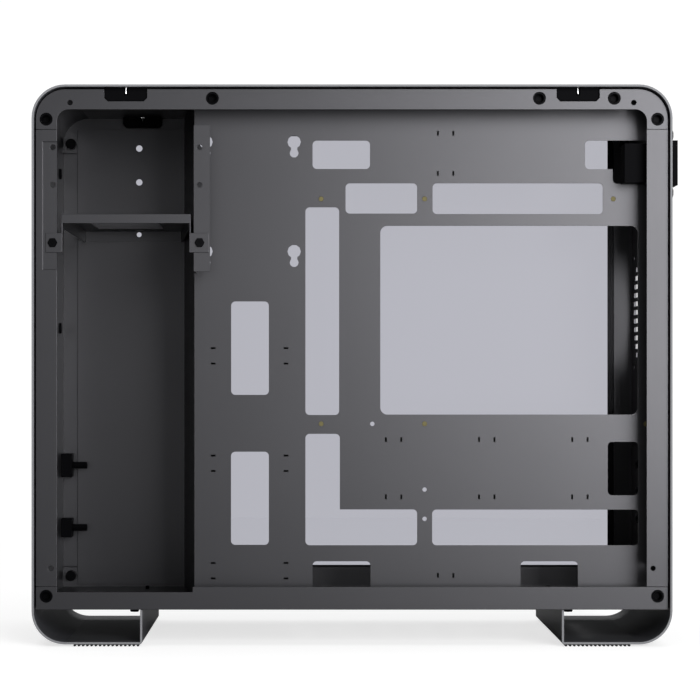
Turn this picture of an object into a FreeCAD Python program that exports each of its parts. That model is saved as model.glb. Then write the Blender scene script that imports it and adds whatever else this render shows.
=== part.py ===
"""Micro-ATX computer case with its right side open.

Frame, in millimetres: +X to the rear of the case, -Y to the open right side, +Z up,
with the origin on the floor under the middle of the outer shell.
"""
import FreeCAD, Part
import math
import operator
import os

import Sketcher
from FreeCAD import Vector

DRIVING_SIZES = {
    # outer shell: one wrapped sheet whose lower ends curl into feet
    "shell_depth": 440.0,
    "shell_width": 205.0,
    "shell_height": 384.4,
    "shell_wall": 1.5,
    "shell_corner_radius": 23.0,
    "foot_length": 76.0,
    "foot_rise": 23.4,
    "foot_bend_radius": 2.0,
    "foot_tab_width": 11.0,
    "foot_tab_setback": 22.5,
    "shell_gap": 1.0,
    "shell_top_gap": 1.2,
    # rubber pads under the feet
    "pad_height": 1.6,
    "pad_rib_height": 1.0,
    "pad_rib_width": 1.4,
    "pad_rib_pitch": 2.9,
    "pad_rib_count": 16,
    "pad_length": 36.0,
    "pad_inset": 2.5,
    # folded steel chassis
    "sheet": 1.0,
    "panel_recess": 5.0,
    "post_flange": 14.5,
    "top_flange": 14.0,
    "floor_flange": 15.7,
    "floor_flange_low": 12.1,
    "opening_radius": 8.0,
    "top_corner_drop": 27.6,
    "seam": 0.3,
    # ball catch sockets
    "socket_ring_radius": 4.45,
    "socket_barrel_radius": 3.9,
    "socket_bore_radius": 2.6,
    "socket_ring_height": 0.4,
    "socket_depth": 7.0,
    "socket_clearance": 0.1,
    "socket_side_inset": 7.1,
    "socket_top_corner_inset": 20.7,
    "socket_floor_inset": 9.3,
    "socket_top_inset": 6.3,
    "socket_top_front": 121.5,
    "socket_top_mid": 88.4,
    "socket_top_rear": 36.9,
    "rail_hole_radius": 1.85,
    "rail_hole_side_inset": 23.5,
    "rail_hole_top_inset": 9.3,
    "post_hole_side_inset": 10.2,
    "post_hole_height": 28.5,
    # snap clips between the shell and the top channel
    "clip_width": 29.5,
    "clip_side_inset": 47.0,
    "clip_drop": 8.4,
    "clip_reach": 10.0,
    "clip_chamfer": 2.4,
    "clip_setback": 1.6,
    "clip_slit": 2.4,
    "clip_slit_foot": 5.0,
    "clip_clearance": 0.2,
    # motherboard tray and its board pattern
    "cable_room": 30.8,
    "tray_sheet": 1.2,
    "tray_length": 326.2,
    "tray_cut_radius": 3.0,
    "tray_cpu_radius": 5.0,
    "board_edge_to_holes": 10.16,
    "board_column_upper": 22.86,
    "board_column_mid": 154.94,
    "board_column_front": 227.33,
    "board_row_height": 126.4,
    "board_row_pitch": 157.48,
    "standoff_height": 6.5,
    "standoff_across_flats": 5.0,
    "standoff_stem_radius": 1.75,
    "standoff_thread_radius": 1.25,
    "standoff_thread_depth": 5.0,
    "standoff_clearance": 0.1,
    "board_hole_radius": 1.6,
    "board_hole_offset": 36.6,
    "board_row_slots": 46.0,
    "board_row_small": 66.5,
    # keyholes for a 2.5 inch drive
    "drive_hole_across": 61.72,
    "drive_hole_pitch": 76.6,
    "drive_hole_rear": 256.4,
    "drive_hole_sill": 247.1,
    "keyhole_radius": 4.7,
    "keyhole_neck_radius": 3.15,
    "keyhole_drop": 7.8,
    "keyhole_slot": 4.4,
    # bridges for cable ties: two slots that lead into a loop pressed out behind the tray
    "bridge_slot_length": 3.3,
    "bridge_slot_width": 1.3,
    "bridge_half_span": 5.4,
    "bridge_loop_height": 2.4,
    "bridge_loop_wall": 0.6,
    "bridge_front_rear": 313.1,
    "bridge_front_pitch": 51.0,
    "bridge_front_sill": 23.6,
    "bridge_front_rise": 75.2,
    "bridge_board_rear": 56.4,
    "bridge_board_pitch": 65.2,
    "bridge_board_sill": 75.3,
    "bridge_board_rise": 40.1,
    "bridge_edge_rear": 150.4,
    "bridge_floor_sill": 20.3,
    "bridge_top_sill": 301.7,
    "bridge_top_rise": 28.1,
    "bridge_rows": 3,
    # chamber of the power supply
    "divider_lean": 14.5,
    "cover_lap": 2.0,
    "cover_front_lap": 2.6,
    "cover_top_lap": 4.4,
    "cover_sill": 1.6,
    "cover_hole_radius": 2.5,
    "cover_hole_front": 58.9,
    "psu_hole_sill": 251.6,
    "psu_hole_step": 39.9,
    "psu_hole_rise": 25.8,
    "psu_hole_radius": 1.9,
    "far_hole_lift": 16.2,
    "recess_width": 9.9,
    "recess_sill": 233.0,
    "recess_height": 88.1,
    "recess_hole_inset": 11.5,
    "rail_width": 11.2,
    "rail_gap": 0.8,
    "rail_sill": 231.7,
    "rail_height": 101.1,
    "rail_hole_inset": 4.1,
    # pan that the power supply hangs from
    "bracket_front": 16.2,
    "bracket_rear": 1.3,
    "bracket_level": 271.4,
    "bracket_lip": 6.4,
    "bracket_side": 9.5,
    "bracket_far_lip": 9.0,
    "bracket_ear_sill": 244.8,
    "bracket_ear_height": 13.5,
    "bracket_ear_front": 10.5,
    "bracket_ear_rear": 12.6,
    "bracket_arm_depth": 14.0,
    "bracket_opening_length": 128.0,
    "bracket_opening_rim": 13.0,
    # small hexagon-headed screws
    "screw_head_flats": 6.0,
    "screw_head_height": 1.8,
    "screw_radius": 1.5,
    "screw_hole_clearance": 0.2,
    "screw_length": 5.0,
    # glass panel of the left side
    "glass_thickness": 4.0,
    "glass_edge_gap": 1.5,
    "glass_stud_radius": 2.2,
    "glass_stud_neck_radius": 1.4,
    "glass_stud_length": 5.0,
    # mains inlet
    "inlet_from_near": 20.5,
    "inlet_height": 308.4,
    "inlet_body_tall": 27.0,
    "inlet_body_wide": 20.0,
    "inlet_inner_depth": 28.5,
    "inlet_clearance": 0.4,
    "inlet_flange_tall": 47.4,
    "inlet_flange_wide": 22.4,
    "inlet_flange_thick": 2.0,
    "inlet_ear_wide": 9.0,
    "inlet_block_tall": 31.0,
    "inlet_block_rise": 3.6,
    "inlet_screw_pitch": 40.0,
    "inlet_cavity_tall": 24.0,
    "inlet_cavity_wide": 16.4,
    "inlet_cavity_chamfer": 5.0,
    "inlet_cavity_depth": 17.0,
    "inlet_pin_thick": 2.0,
    "inlet_pin_wide": 4.0,
    "inlet_pin_length": 14.0,
    "inlet_pin_pitch": 14.0,
    "inlet_pin_offset": 2.0,
    # rear wall
    "window_near": 38.0,
    "window_far": 9.0,
    "window_sill": 38.0,
    "window_height": 252.0,
    "window_radius": 6.0,
    "io_length": 158.75,
    "io_width": 44.45,
    "io_sill": 128.5,
    "io_from_tray": 3.1,
    "slot_pitch": 20.32,
    "slot_count": 4,
    "slot_top_drop": 13.5,
    "slot_opening": 13.0,
    "slot_length": 101.0,
    "slot_cover_width": 18.6,
    "slot_cover_lap": 3.0,
    "slot_screw_lap": 12.0,
    "slot_from_tray": 9.5,
    "rear_fan_pitch": 82.5,
    "rear_fan_lift": 208.0,
    "rear_fan_from_far": 57.0,
    "rear_fan_grille_radius": 43.0,
    "rear_fan_slot": 3.6,
    "rear_fan_slot_pitch": 6.4,
    "fan_hole_radius": 2.2,
    # fan places at the top and in the floor
    "fan_pitch": 105.0,
    "fan_slot_length": 229.0,
    "fan_opening_length": 229.0,
    "fan_opening_width": 92.0,
    "fans_from_rear": 146.0,
    "fan_from_far": 82.5,
    "vent_slot": 6.0,
    "vent_slot_pitch": 14.0,
    "vent_slot_count": 17,
    "vent_slot_length": 110.0,
    "floor_vent_slot": 6.0,
    "floor_vent_pitch": 28.0,
    "floor_vent_count": 8,
    # front modules: power button and serial bus socket
    "module_from_far": 9.5,
    "module_width": 16.0,
    "module_depth": 8.0,
    "boot_radius": 2.5,
    "boot_length": 11.0,
    "power_module_sill": 83.7,
    "power_module_tall": 17.7,
    "button_radius": 6.0,
    "button_stem_radius": 3.0,
    "button_clearance": 0.35,
    "button_sink": 0.2,
    "button_cap": 1.5,
    "button_stem_length": 5.0,
    "button_bore_depth": 6.0,
    "usb_module_sill": 38.3,
    "usb_module_tall": 14.1,
    "usb_wide": 13.2,
    "usb_tall": 5.8,
    "usb_wall": 0.5,
    "usb_depth": 10.0,
    "usb_clearance": 0.1,
    "usb_tongue_wide": 10.4,
    "usb_tongue_thick": 1.8,
    "usb_tongue_lift": 0.9,
    "usb_tongue_length": 8.0,
    # push rivets of the front wall
    "rivet_head_radius": 4.0,
    "rivet_head_height": 1.5,
    "rivet_radius": 2.0,
    "rivet_low": 196.0,
    "rivet_rise": 115.7,
    "rivet_from_side": 30.5,
}

# Cut-outs of the motherboard tray: distance of the rear edge from the rear wall,
# width, height of the lower edge above the floor sheet, and height.
TRAY_CUTOUTS = {
    "upper_pass": (203.3, 40.2, 304.8, 19.9),
    "row_pass_front": (170.3, 50.1, 273.6, 21.2),
    "row_pass_rear": (40.3, 119.2, 273.3, 21.5),
    "side_pass_upper": (224.9, 23.6, 132.6, 145.4),
    "front_pass_upper": (274.1, 26.4, 146.7, 65.4),
    "front_pass_lower": (274.1, 26.5, 41.7, 65.2),
    "side_pass_lower": (224.4, 24.1, 41.4, 78.0),
    "corner_pass": (170.3, 78.2, 41.4, 25.1),
    "lower_pass": (15.5, 144.3, 41.4, 25.0),
    "rear_pass": (15.5, 21.4, 76.4, 37.4),
}
# Notches that run out of the tray at the floor and at the rear wall.
FLOOR_NOTCHES = {
    "floor_notch_front": (203.0, 40.5, 30.2),
    "floor_notch_rear": (57.8, 40.1, 30.2),
}
REAR_NOTCHES = {
    "inlet_notch_upper": (52.8, 304.7, 20.0),
    "inlet_notch_lower": (33.4, 294.5, 14.0),
}
for cutout, edges in TRAY_CUTOUTS.items():
    for edge, number in zip(("rear", "width", "sill", "height"), edges):
        DRIVING_SIZES[cutout + "_" + edge] = number
for notch, edges in FLOOR_NOTCHES.items():
    for edge, number in zip(("rear", "width", "height"), edges):
        DRIVING_SIZES[notch + "_" + edge] = number
for notch, edges in REAR_NOTCHES.items():
    for edge, number in zip(("length", "sill", "height"), edges):
        DRIVING_SIZES[notch + "_" + edge] = number
DRIVING_SIZES["cpu_window_rear"] = 16.0
DRIVING_SIZES["cpu_window_width"] = 180.1
DRIVING_SIZES["cpu_window_sill"] = 132.9
DRIVING_SIZES["cpu_window_height"] = 132.1

doc = FreeCAD.newDocument("ComputerCase")
sheet = doc.addObject("Spreadsheet::Sheet", "Sizes")
for row, (alias, number) in enumerate(DRIVING_SIZES.items(), start=1):
    sheet.set("A%d" % row, alias)
    sheet.set("B%d" % row, str(number))
    sheet.setAlias("B%d" % row, alias)
doc.recompute()


class Length:
    """A number together with the sheet expression that it comes from."""

    SIGNS = {"+": operator.add, "-": operator.sub, "*": operator.mul, "/": operator.truediv}

    def __init__(self, value, text):
        self.value = value
        self.text = text

    @classmethod
    def of(cls, number):
        """Return a plain number as a Length, and a Length as it is."""
        if isinstance(number, Length):
            return number
        return cls(number, repr(number))

    @classmethod
    def join(cls, left, sign, right):
        """Return two Lengths joined by a sign."""
        left = cls.of(left)
        right = cls.of(right)
        value = cls.SIGNS[sign](left.value, right.value)
        return cls(value, "(%s %s %s)" % (left.text, sign, right.text))

    def root(self):
        """Return the square root."""
        return Length(math.sqrt(self.value), "sqrt(%s)" % self.text)

    def __add__(self, other):
        return Length.join(self, "+", other)

    def __sub__(self, other):
        return Length.join(self, "-", other)

    def __mul__(self, other):
        return Length.join(self, "*", other)

    def __truediv__(self, other):
        return Length.join(self, "/", other)

    def __neg__(self):
        return Length.join(0, "-", self)


class SheetSizes:
    """Gives each cell of the sheet by its alias."""

    def __getattr__(self, alias):
        return Length(DRIVING_SIZES[alias], "Sizes." + alias)


def size(alias):
    """Return the cell with this alias."""
    return Length(DRIVING_SIZES[alias], "Sizes." + alias)


S = SheetSizes()
ZERO = Length(0.0, "0")

# Planes that the sheets lie on, from the driving sizes.
half_depth = S.shell_depth / 2
half_width = S.shell_width / 2
shell_top = S.pad_height + S.shell_height
shell_inner = half_depth - S.shell_wall
shell_inner_top = shell_top - S.shell_wall
web_out = shell_inner - S.shell_gap
web_in = web_out - S.sheet
top_out = shell_inner_top - S.shell_top_gap
top_in = top_out - S.sheet
floor_out = S.pad_height + S.foot_rise
floor_in = floor_out + S.sheet
side_out = half_width - S.panel_recess
side_in = side_out - S.sheet
flange_edge = web_out - S.post_flange
rail_foot = top_out - S.top_corner_drop
web_corner = S.shell_corner_radius - S.shell_wall - S.shell_gap
tray_near = -side_out + S.cable_room
tray_far = tray_near + S.tray_sheet
tray_front = web_in - S.tray_length
cover_near = side_in - S.sheet
row_low = floor_in + S.board_row_height
row_high = row_low + S.board_row_pitch
column_rear = web_in - S.board_edge_to_holes
column_upper = column_rear - S.board_column_upper
column_mid = column_rear - S.board_column_mid
column_front = column_rear - S.board_column_front
screw_hole = S.screw_radius + S.screw_hole_clearance

# Small rounds that repeat are drawn as polygons, which keeps the model light.
HOLE_SIDES = 10
FASTENER_SIDES = 8
HEXAGON = 6

AXES = {"XY": ("XY_Plane", 1), "XZ": ("XZ_Plane", -1), "YZ": ("YZ_Plane", 1)}
pieces = []


def new_body(label):
    """Start a sub-part."""
    body = doc.addObject("PartDesign::Body", label)
    body.Label = label
    body.AllowCompound = True
    body.Placement = FreeCAD.Placement()
    pieces.append(body)
    return body


def new_sketch(body, plane, at):
    """Start a sketch on a plane of the body's origin, at a place along its axis."""
    role, sign = AXES[plane]
    support = [part for part in body.Origin.OriginFeatures if part.Role == role]
    offset = Length.of(at) if sign > 0 else -Length.of(at)
    sketch = body.newObject("Sketcher::SketchObject", body.Name + "_sketch")
    sketch.AttachmentSupport = [(support[0], "")]
    sketch.MapMode = "FlatFace"
    sketch.setExpression("AttachmentOffset.Base.z", offset.text)
    return sketch


def bind(sketch, kind, arguments, length):
    """Add a dimension to a sketch and tie it to the sheet."""
    length = Length.of(length)
    number = sketch.addConstraint(Sketcher.Constraint(kind, *arguments, length.value))
    sketch.setExpression("Constraints[%d]" % number, length.text)


def direction(start, end):
    """Return the unit step from one corner to the next."""
    step = Vector(end[0].value - start[0].value, end[1].value - start[1].value, 0)
    return step.normalize()


def corner_arc(point, before, after, radius):
    """Return the arc of a square corner and the ends that meet its two edges."""
    start = point - before * radius
    end = point + after * radius
    middle = start + after * radius
    left_turn = before.cross(after).z > 0
    first, last = (start, end) if left_turn else (end, start)
    begin = math.atan2(first.y - middle.y, first.x - middle.x)
    finish = math.atan2(last.y - middle.y, last.x - middle.x)
    if finish < begin:
        finish += 2 * math.pi
    circle = Part.Circle(middle, Vector(0, 0, 1), radius)
    ends = (1, 2) if left_turn else (2, 1)
    return Part.ArcOfCircle(circle, begin, finish), ends


def outline(sketch, corners):
    """Draw a closed outline: corners are (u, v) or (u, v, radius of a square corner)."""
    corners = [tuple(Length.of(part) for part in corner) for corner in corners]
    count = len(corners)
    steps = [direction(corners[i], corners[(i + 1) % count]) for i in range(count)]
    points = [Vector(corner[0].value, corner[1].value, 0) for corner in corners]
    radii = [corner[2] if len(corner) > 2 else None for corner in corners]
    edges = []
    upright = []
    level = []
    for i in range(count):
        j = (i + 1) % count
        start = points[i] + steps[i] * (radii[i].value if radii[i] else 0)
        end = points[j] - steps[i] * (radii[j].value if radii[j] else 0)
        edges.append(sketch.addGeometry(Part.LineSegment(start, end), False))
        upright.append(corners[i][0].text == corners[j][0].text)
        level.append(corners[i][1].text == corners[j][1].text)
        if upright[i]:
            sketch.addConstraint(Sketcher.Constraint("Vertical", edges[i]))
            bind(sketch, "DistanceX", (-1, 1, edges[i], 1), corners[i][0])
        if level[i]:
            sketch.addConstraint(Sketcher.Constraint("Horizontal", edges[i]))
            bind(sketch, "DistanceY", (-1, 1, edges[i], 1), corners[i][1])
    for i in range(count):
        before, after = edges[i - 1], edges[i]
        if radii[i]:
            arc, ends = corner_arc(points[i], steps[i - 1], steps[i], radii[i].value)
            bend = sketch.addGeometry(arc, False)
            sketch.addConstraint(Sketcher.Constraint("Tangent", before, 2, bend, ends[0]))
            sketch.addConstraint(Sketcher.Constraint("Tangent", bend, ends[1], after, 1))
            bind(sketch, "Radius", (bend,), radii[i])
            continue
        sketch.addConstraint(Sketcher.Constraint("Coincident", before, 2, after, 1))
        if not (upright[i - 1] or upright[i]):
            bind(sketch, "DistanceX", (-1, 1, after, 1), corners[i][0])
        if not (level[i - 1] or level[i]):
            bind(sketch, "DistanceY", (-1, 1, after, 1), corners[i][1])


def rectangle(sketch, left, low, right, high, radius=None):
    """Draw a rectangle, with round corners where a radius is given."""
    corners = [(left, low), (right, low), (right, high), (left, high)]
    if radius is not None:
        corners = [corner + (radius,) for corner in corners]
    outline(sketch, corners)


def circle(sketch, across, up, radius):
    """Draw a circle."""
    across, up, radius = Length.of(across), Length.of(up), Length.of(radius)
    shape = Part.Circle(Vector(across.value, up.value, 0), Vector(0, 0, 1), radius.value)
    number = sketch.addGeometry(shape, False)
    bind(sketch, "DistanceX", (-1, 1, number, 3), across)
    bind(sketch, "DistanceY", (-1, 1, number, 3), up)
    bind(sketch, "Radius", (number,), radius)


def polygon(sketch, across, up, radius, sides):
    """Draw a regular polygon about a middle point, with a radius to its corners."""
    across, up = Length.of(across), Length.of(up)
    middle = Vector(across.value, up.value, 0)
    point = sketch.addGeometry(Part.Point(middle), True)
    bind(sketch, "DistanceX", (-1, 1, point, 1), across)
    bind(sketch, "DistanceY", (-1, 1, point, 1), up)
    turns = [2 * math.pi * number / sides for number in range(sides)]
    arms = [(radius * math.cos(turn), radius * math.sin(turn)) for turn in turns]
    ends = [middle + Vector(arm[0].value, arm[1].value, 0) for arm in arms]
    edges = [
        sketch.addGeometry(Part.LineSegment(ends[i], ends[(i + 1) % sides]), False)
        for i in range(sides)
    ]
    for i, arm in enumerate(arms):
        sketch.addConstraint(Sketcher.Constraint("Coincident", edges[i - 1], 2, edges[i], 1))
        bind(sketch, "DistanceX", (point, 1, edges[i], 1), arm[0])
        bind(sketch, "DistanceY", (point, 1, edges[i], 1), arm[1])


def rounds(sketch, places, radius, sides):
    """Draw circles at several places, or polygons where a number of sides is given."""
    for across, up in places:
        if sides:
            polygon(sketch, across, up, radius, sides)
        else:
            circle(sketch, across, up, radius)


def raise_pad(body, sketch, plane, thickness):
    """Pad a sketch towards the positive side of its plane."""
    pad = body.newObject("PartDesign::Pad", body.Name + "_pad")
    pad.Profile = sketch
    pad.setExpression("Length", thickness.text)
    pad.Reversed = AXES[plane][1] < 0
    return pad


def cut_pocket(body, sketch, plane, depth):
    """Cut a sketch out towards the positive side of its plane."""
    pocket = body.newObject("PartDesign::Pocket", body.Name + "_pocket")
    pocket.Profile = sketch
    pocket.setExpression("Length", depth.text)
    pocket.Reversed = AXES[plane][1] > 0
    pocket.Refine = False
    return pocket


def plate(body, plane, at, thickness, *corners):
    """Add a flat plate with a rectangular outline, given as its four edges."""
    sketch = new_sketch(body, plane, at)
    rectangle(sketch, *corners)
    return raise_pad(body, sketch, plane, thickness)


def shaped_plate(body, plane, at, thickness, corners):
    """Add a flat plate with a free outline."""
    sketch = new_sketch(body, plane, at)
    outline(sketch, corners)
    return raise_pad(body, sketch, plane, thickness)


def opening(body, plane, at, depth, *corners):
    """Cut a rectangular opening, given as its four edges and a corner radius."""
    sketch = new_sketch(body, plane, at)
    rectangle(sketch, *corners)
    return cut_pocket(body, sketch, plane, depth)


def discs(body, plane, at, thickness, places, radius, sides=None):
    """Add bosses of one radius at several places."""
    sketch = new_sketch(body, plane, at)
    rounds(sketch, places, radius, sides)
    return raise_pad(body, sketch, plane, thickness)


def holes(body, plane, at, depth, places, radius, sides=None):
    """Cut holes of one radius at several places."""
    sketch = new_sketch(body, plane, at)
    rounds(sketch, places, radius, sides)
    return cut_pocket(body, sketch, plane, depth)


def screws(body, plane, head_at, shank_at, shank_length, places):
    """Add screws with a hexagon head."""
    head_radius = S.screw_head_flats / math.sqrt(3)
    discs(body, plane, head_at, S.screw_head_height, places, head_radius, HEXAGON)
    discs(body, plane, shank_at, shank_length, places, S.screw_radius, FASTENER_SIDES)


def repeat(body, feature, sketch, axis, pitch, count):
    """Repeat a feature along an axis of its sketch."""
    pattern = body.newObject("PartDesign::LinearPattern", body.Name + "_pattern")
    pattern.Originals = [feature]
    pattern.Direction = (sketch, [axis])
    pattern.Mode = "Spacing"
    pattern.setExpression("Offset", pitch.text)
    pattern.setExpression("Occurrences", count.text)
    pattern.Refine = False
    body.Tip = pattern
    return pattern


def four(across, up, pitch):
    """Return the corners of a square pattern about a centre."""
    half = pitch / 2
    return [
        (across - half, up - half),
        (across + half, up - half),
        (across - half, up + half),
        (across + half, up + half),
    ]


# Places that more than one sub-part uses.
tab_inner = half_depth - S.foot_length
tab_middle = tab_inner + S.shell_wall + S.foot_tab_width / 2
tab_half = half_width - S.foot_tab_setback
tab_screw_places = [
    (side * tab_middle, end * (tab_half - S.foot_tab_width / 2))
    for side in (Length.of(-1), Length.of(1))
    for end in (Length.of(-1), Length.of(1))
]
fan_rows = side_in - S.fan_from_far
fan_middle = web_in - S.fans_from_rear
rear_fan_across = side_in - S.rear_fan_from_far
rear_fan_up = floor_in + S.rear_fan_lift
corner_sockets_high = [
    (-web_out + S.socket_side_inset, top_out - S.socket_top_corner_inset),
    (web_out - S.socket_side_inset, top_out - S.socket_top_corner_inset),
]
top_sockets = [
    (-web_out + S.socket_top_front, top_out - S.socket_top_inset),
    (web_out - S.socket_top_mid, top_out - S.socket_top_inset),
    (web_out - S.socket_top_rear, top_out - S.socket_top_inset),
]
corner_sockets_low = [
    (-web_out + S.socket_side_inset, floor_out + S.socket_floor_inset),
    (web_out - S.socket_side_inset, floor_out + S.socket_floor_inset),
]
inlet_across = -half_width + S.inlet_from_near + S.panel_recess
inlet_up = floor_in + S.inlet_height - S.sheet
inlet_screw_places = [
    (inlet_across, inlet_up - S.inlet_screw_pitch / 2),
    (inlet_across, inlet_up + S.inlet_screw_pitch / 2),
]
io_near = tray_near + S.io_from_tray + S.tray_sheet
slot_near = tray_near + S.slot_from_tray
slot_first = floor_in + S.io_sill - S.slot_top_drop
slot_screw_places = [
    (slot_near + S.slot_length + S.slot_screw_lap / 2, slot_first - S.slot_pitch * number)
    for number in range(int(S.slot_count.value))
]
psu_holes_low = floor_in + S.psu_hole_sill
psu_holes = [
    psu_holes_low,
    psu_holes_low + S.psu_hole_step,
    psu_holes_low + S.psu_hole_step + S.psu_hole_rise,
]
recess_hole = -web_out + S.recess_hole_inset
rail_front = tray_front + S.rail_gap
rail_hole = rail_front + S.rail_hole_inset
ear_screw_places = [(recess_hole, psu_holes[0]), (rail_hole, psu_holes[0])]
cover_hole = -web_out + S.cover_hole_front
module_far = side_in - S.module_from_far + S.module_width / 2
module_near = module_far - S.module_width
module_across = module_far - S.module_width / 2
button_up = floor_in + S.power_module_sill + S.power_module_tall / 2
usb_up = floor_in + S.usb_module_sill + S.usb_module_tall / 2
rivet_places = [
    (side * (side_in - S.rivet_from_side), floor_in + S.rivet_low + lift)
    for side in (Length.of(-1), Length.of(1))
    for lift in (ZERO, S.rivet_rise)
]


def outer_shell():
    """Wrapped sheet with curled feet, rear window, vents and front openings."""
    body = new_body("outer_shell")
    foot_low = S.pad_height
    inner_radius = S.shell_corner_radius - S.shell_wall
    flap_in = tab_inner + S.shell_wall
    shaped_plate(body, "XZ", -half_width, S.shell_width, [
        (-tab_inner, floor_out),
        (-tab_inner, foot_low, S.foot_bend_radius),
        (-half_depth, foot_low, S.shell_corner_radius),
        (-half_depth, shell_top, S.shell_corner_radius),
        (half_depth, shell_top, S.shell_corner_radius),
        (half_depth, foot_low, S.shell_corner_radius),
        (tab_inner, foot_low, S.foot_bend_radius),
        (tab_inner, floor_out),
        (flap_in, floor_out),
        (flap_in, foot_low + S.shell_wall),
        (shell_inner, foot_low + S.shell_wall, inner_radius),
        (shell_inner, shell_inner_top, inner_radius),
        (-shell_inner, shell_inner_top, inner_radius),
        (-shell_inner, foot_low + S.shell_wall, inner_radius),
        (-flap_in, foot_low + S.shell_wall),
        (-flap_in, floor_out),
    ])
    tab_end = flap_in + S.foot_tab_width
    for left, right in ((-tab_end, -tab_inner), (tab_inner, tab_end)):
        plate(body, "XZ", -tab_half, tab_half * 2, left, floor_out - S.shell_wall, right, floor_out)
    holes(body, "XY", floor_out - S.shell_wall, S.shell_wall, tab_screw_places, screw_hole,
          FASTENER_SIDES)
    rear_face = half_depth - S.shell_wall
    window_low = floor_in + S.window_sill
    opening(body, "YZ", rear_face, S.shell_wall, -half_width + S.window_near, window_low,
            half_width - S.window_far, window_low + S.window_height, S.window_radius)
    inlet_half = S.inlet_body_wide / 2 + S.inlet_clearance
    inlet_reach = S.inlet_body_tall / 2 + S.inlet_clearance
    opening(body, "YZ", rear_face, S.shell_wall, inlet_across - inlet_half, inlet_up - inlet_reach,
            inlet_across + inlet_half, inlet_up + inlet_reach)
    holes(body, "YZ", rear_face, S.shell_wall, inlet_screw_places, screw_hole, FASTENER_SIDES)
    button_hole = S.button_radius + S.button_clearance
    holes(body, "YZ", -half_depth, S.shell_wall, [(module_across, button_up)], button_hole)
    usb_half = S.usb_wide / 2 + S.usb_clearance
    usb_reach = S.usb_tall / 2 + S.usb_clearance
    opening(body, "YZ", -half_depth, S.shell_wall, module_across - usb_half, usb_up - usb_reach,
            module_across + usb_half, usb_up + usb_reach)
    vent_span = S.vent_slot_pitch * (S.vent_slot_count - 1)
    vent_start = fan_middle - (vent_span + S.vent_slot) / 2
    sketch = new_sketch(body, "XY", shell_inner_top)
    vent_half = S.vent_slot_length / 2
    rectangle(sketch, vent_start, fan_rows - vent_half, vent_start + S.vent_slot, fan_rows + vent_half)
    slots = cut_pocket(body, sketch, "XY", S.shell_wall)
    repeat(body, slots, sketch, "H_Axis", S.vent_slot_pitch, S.vent_slot_count)


def foot_pad(label, front, near):
    """Ribbed rubber pad, with ribs that run across the case."""
    body = new_body(label)
    ribs_span = S.pad_rib_pitch * (S.pad_rib_count - 1) + S.pad_rib_width
    plate(body, "XZ", ZERO, S.pad_length, ZERO, S.pad_rib_height, ribs_span, S.pad_height)
    sketch = new_sketch(body, "XZ", ZERO)
    rectangle(sketch, ZERO, ZERO, S.pad_rib_width, S.pad_rib_height)
    rib = raise_pad(body, sketch, "XZ", S.pad_length)
    repeat(body, rib, sketch, "H_Axis", S.pad_rib_pitch, S.pad_rib_count)
    body.setExpression("Placement.Base.x", front.text)
    body.setExpression("Placement.Base.y", near.text)


def foot_pads():
    """Two pads under each foot."""
    ribs_span = S.pad_rib_pitch * (S.pad_rib_count - 1) + S.pad_rib_width
    near = -half_width + S.pad_inset
    far = half_width - S.pad_inset - S.pad_length
    front = -tab_inner - S.pad_inset - ribs_span
    rear = tab_inner + S.pad_inset
    foot_pad("foot_pad_front_right", front, near)
    foot_pad("foot_pad_front_left", front, far)
    foot_pad("foot_pad_rear_right", rear, near)
    foot_pad("foot_pad_rear_left", rear, far)


def floor_screws():
    """Screws through the tabs of the feet into the floor sheet."""
    body = new_body("floor_screws")
    shank_low = floor_out - S.shell_wall
    head_low = shank_low - S.screw_head_height
    screws(body, "XY", head_low, shank_low, S.screw_length, tab_screw_places)


def clip_notch_edges(side):
    """Return the front and rear edge of a clip's notch, at the front or the rear of the case."""
    near_wall = web_out - S.clip_side_inset
    if side == "front":
        return -near_wall, -near_wall + S.clip_width
    return near_wall - S.clip_width, near_wall


def clip_outline(left, right, low):
    """Return the lower corners of a clip or of its notch, which are cut off slantwise."""
    return [
        (left, low + S.clip_chamfer),
        (left + S.clip_chamfer, low),
        (right - S.clip_chamfer, low),
        (right, low + S.clip_chamfer),
    ]


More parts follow.
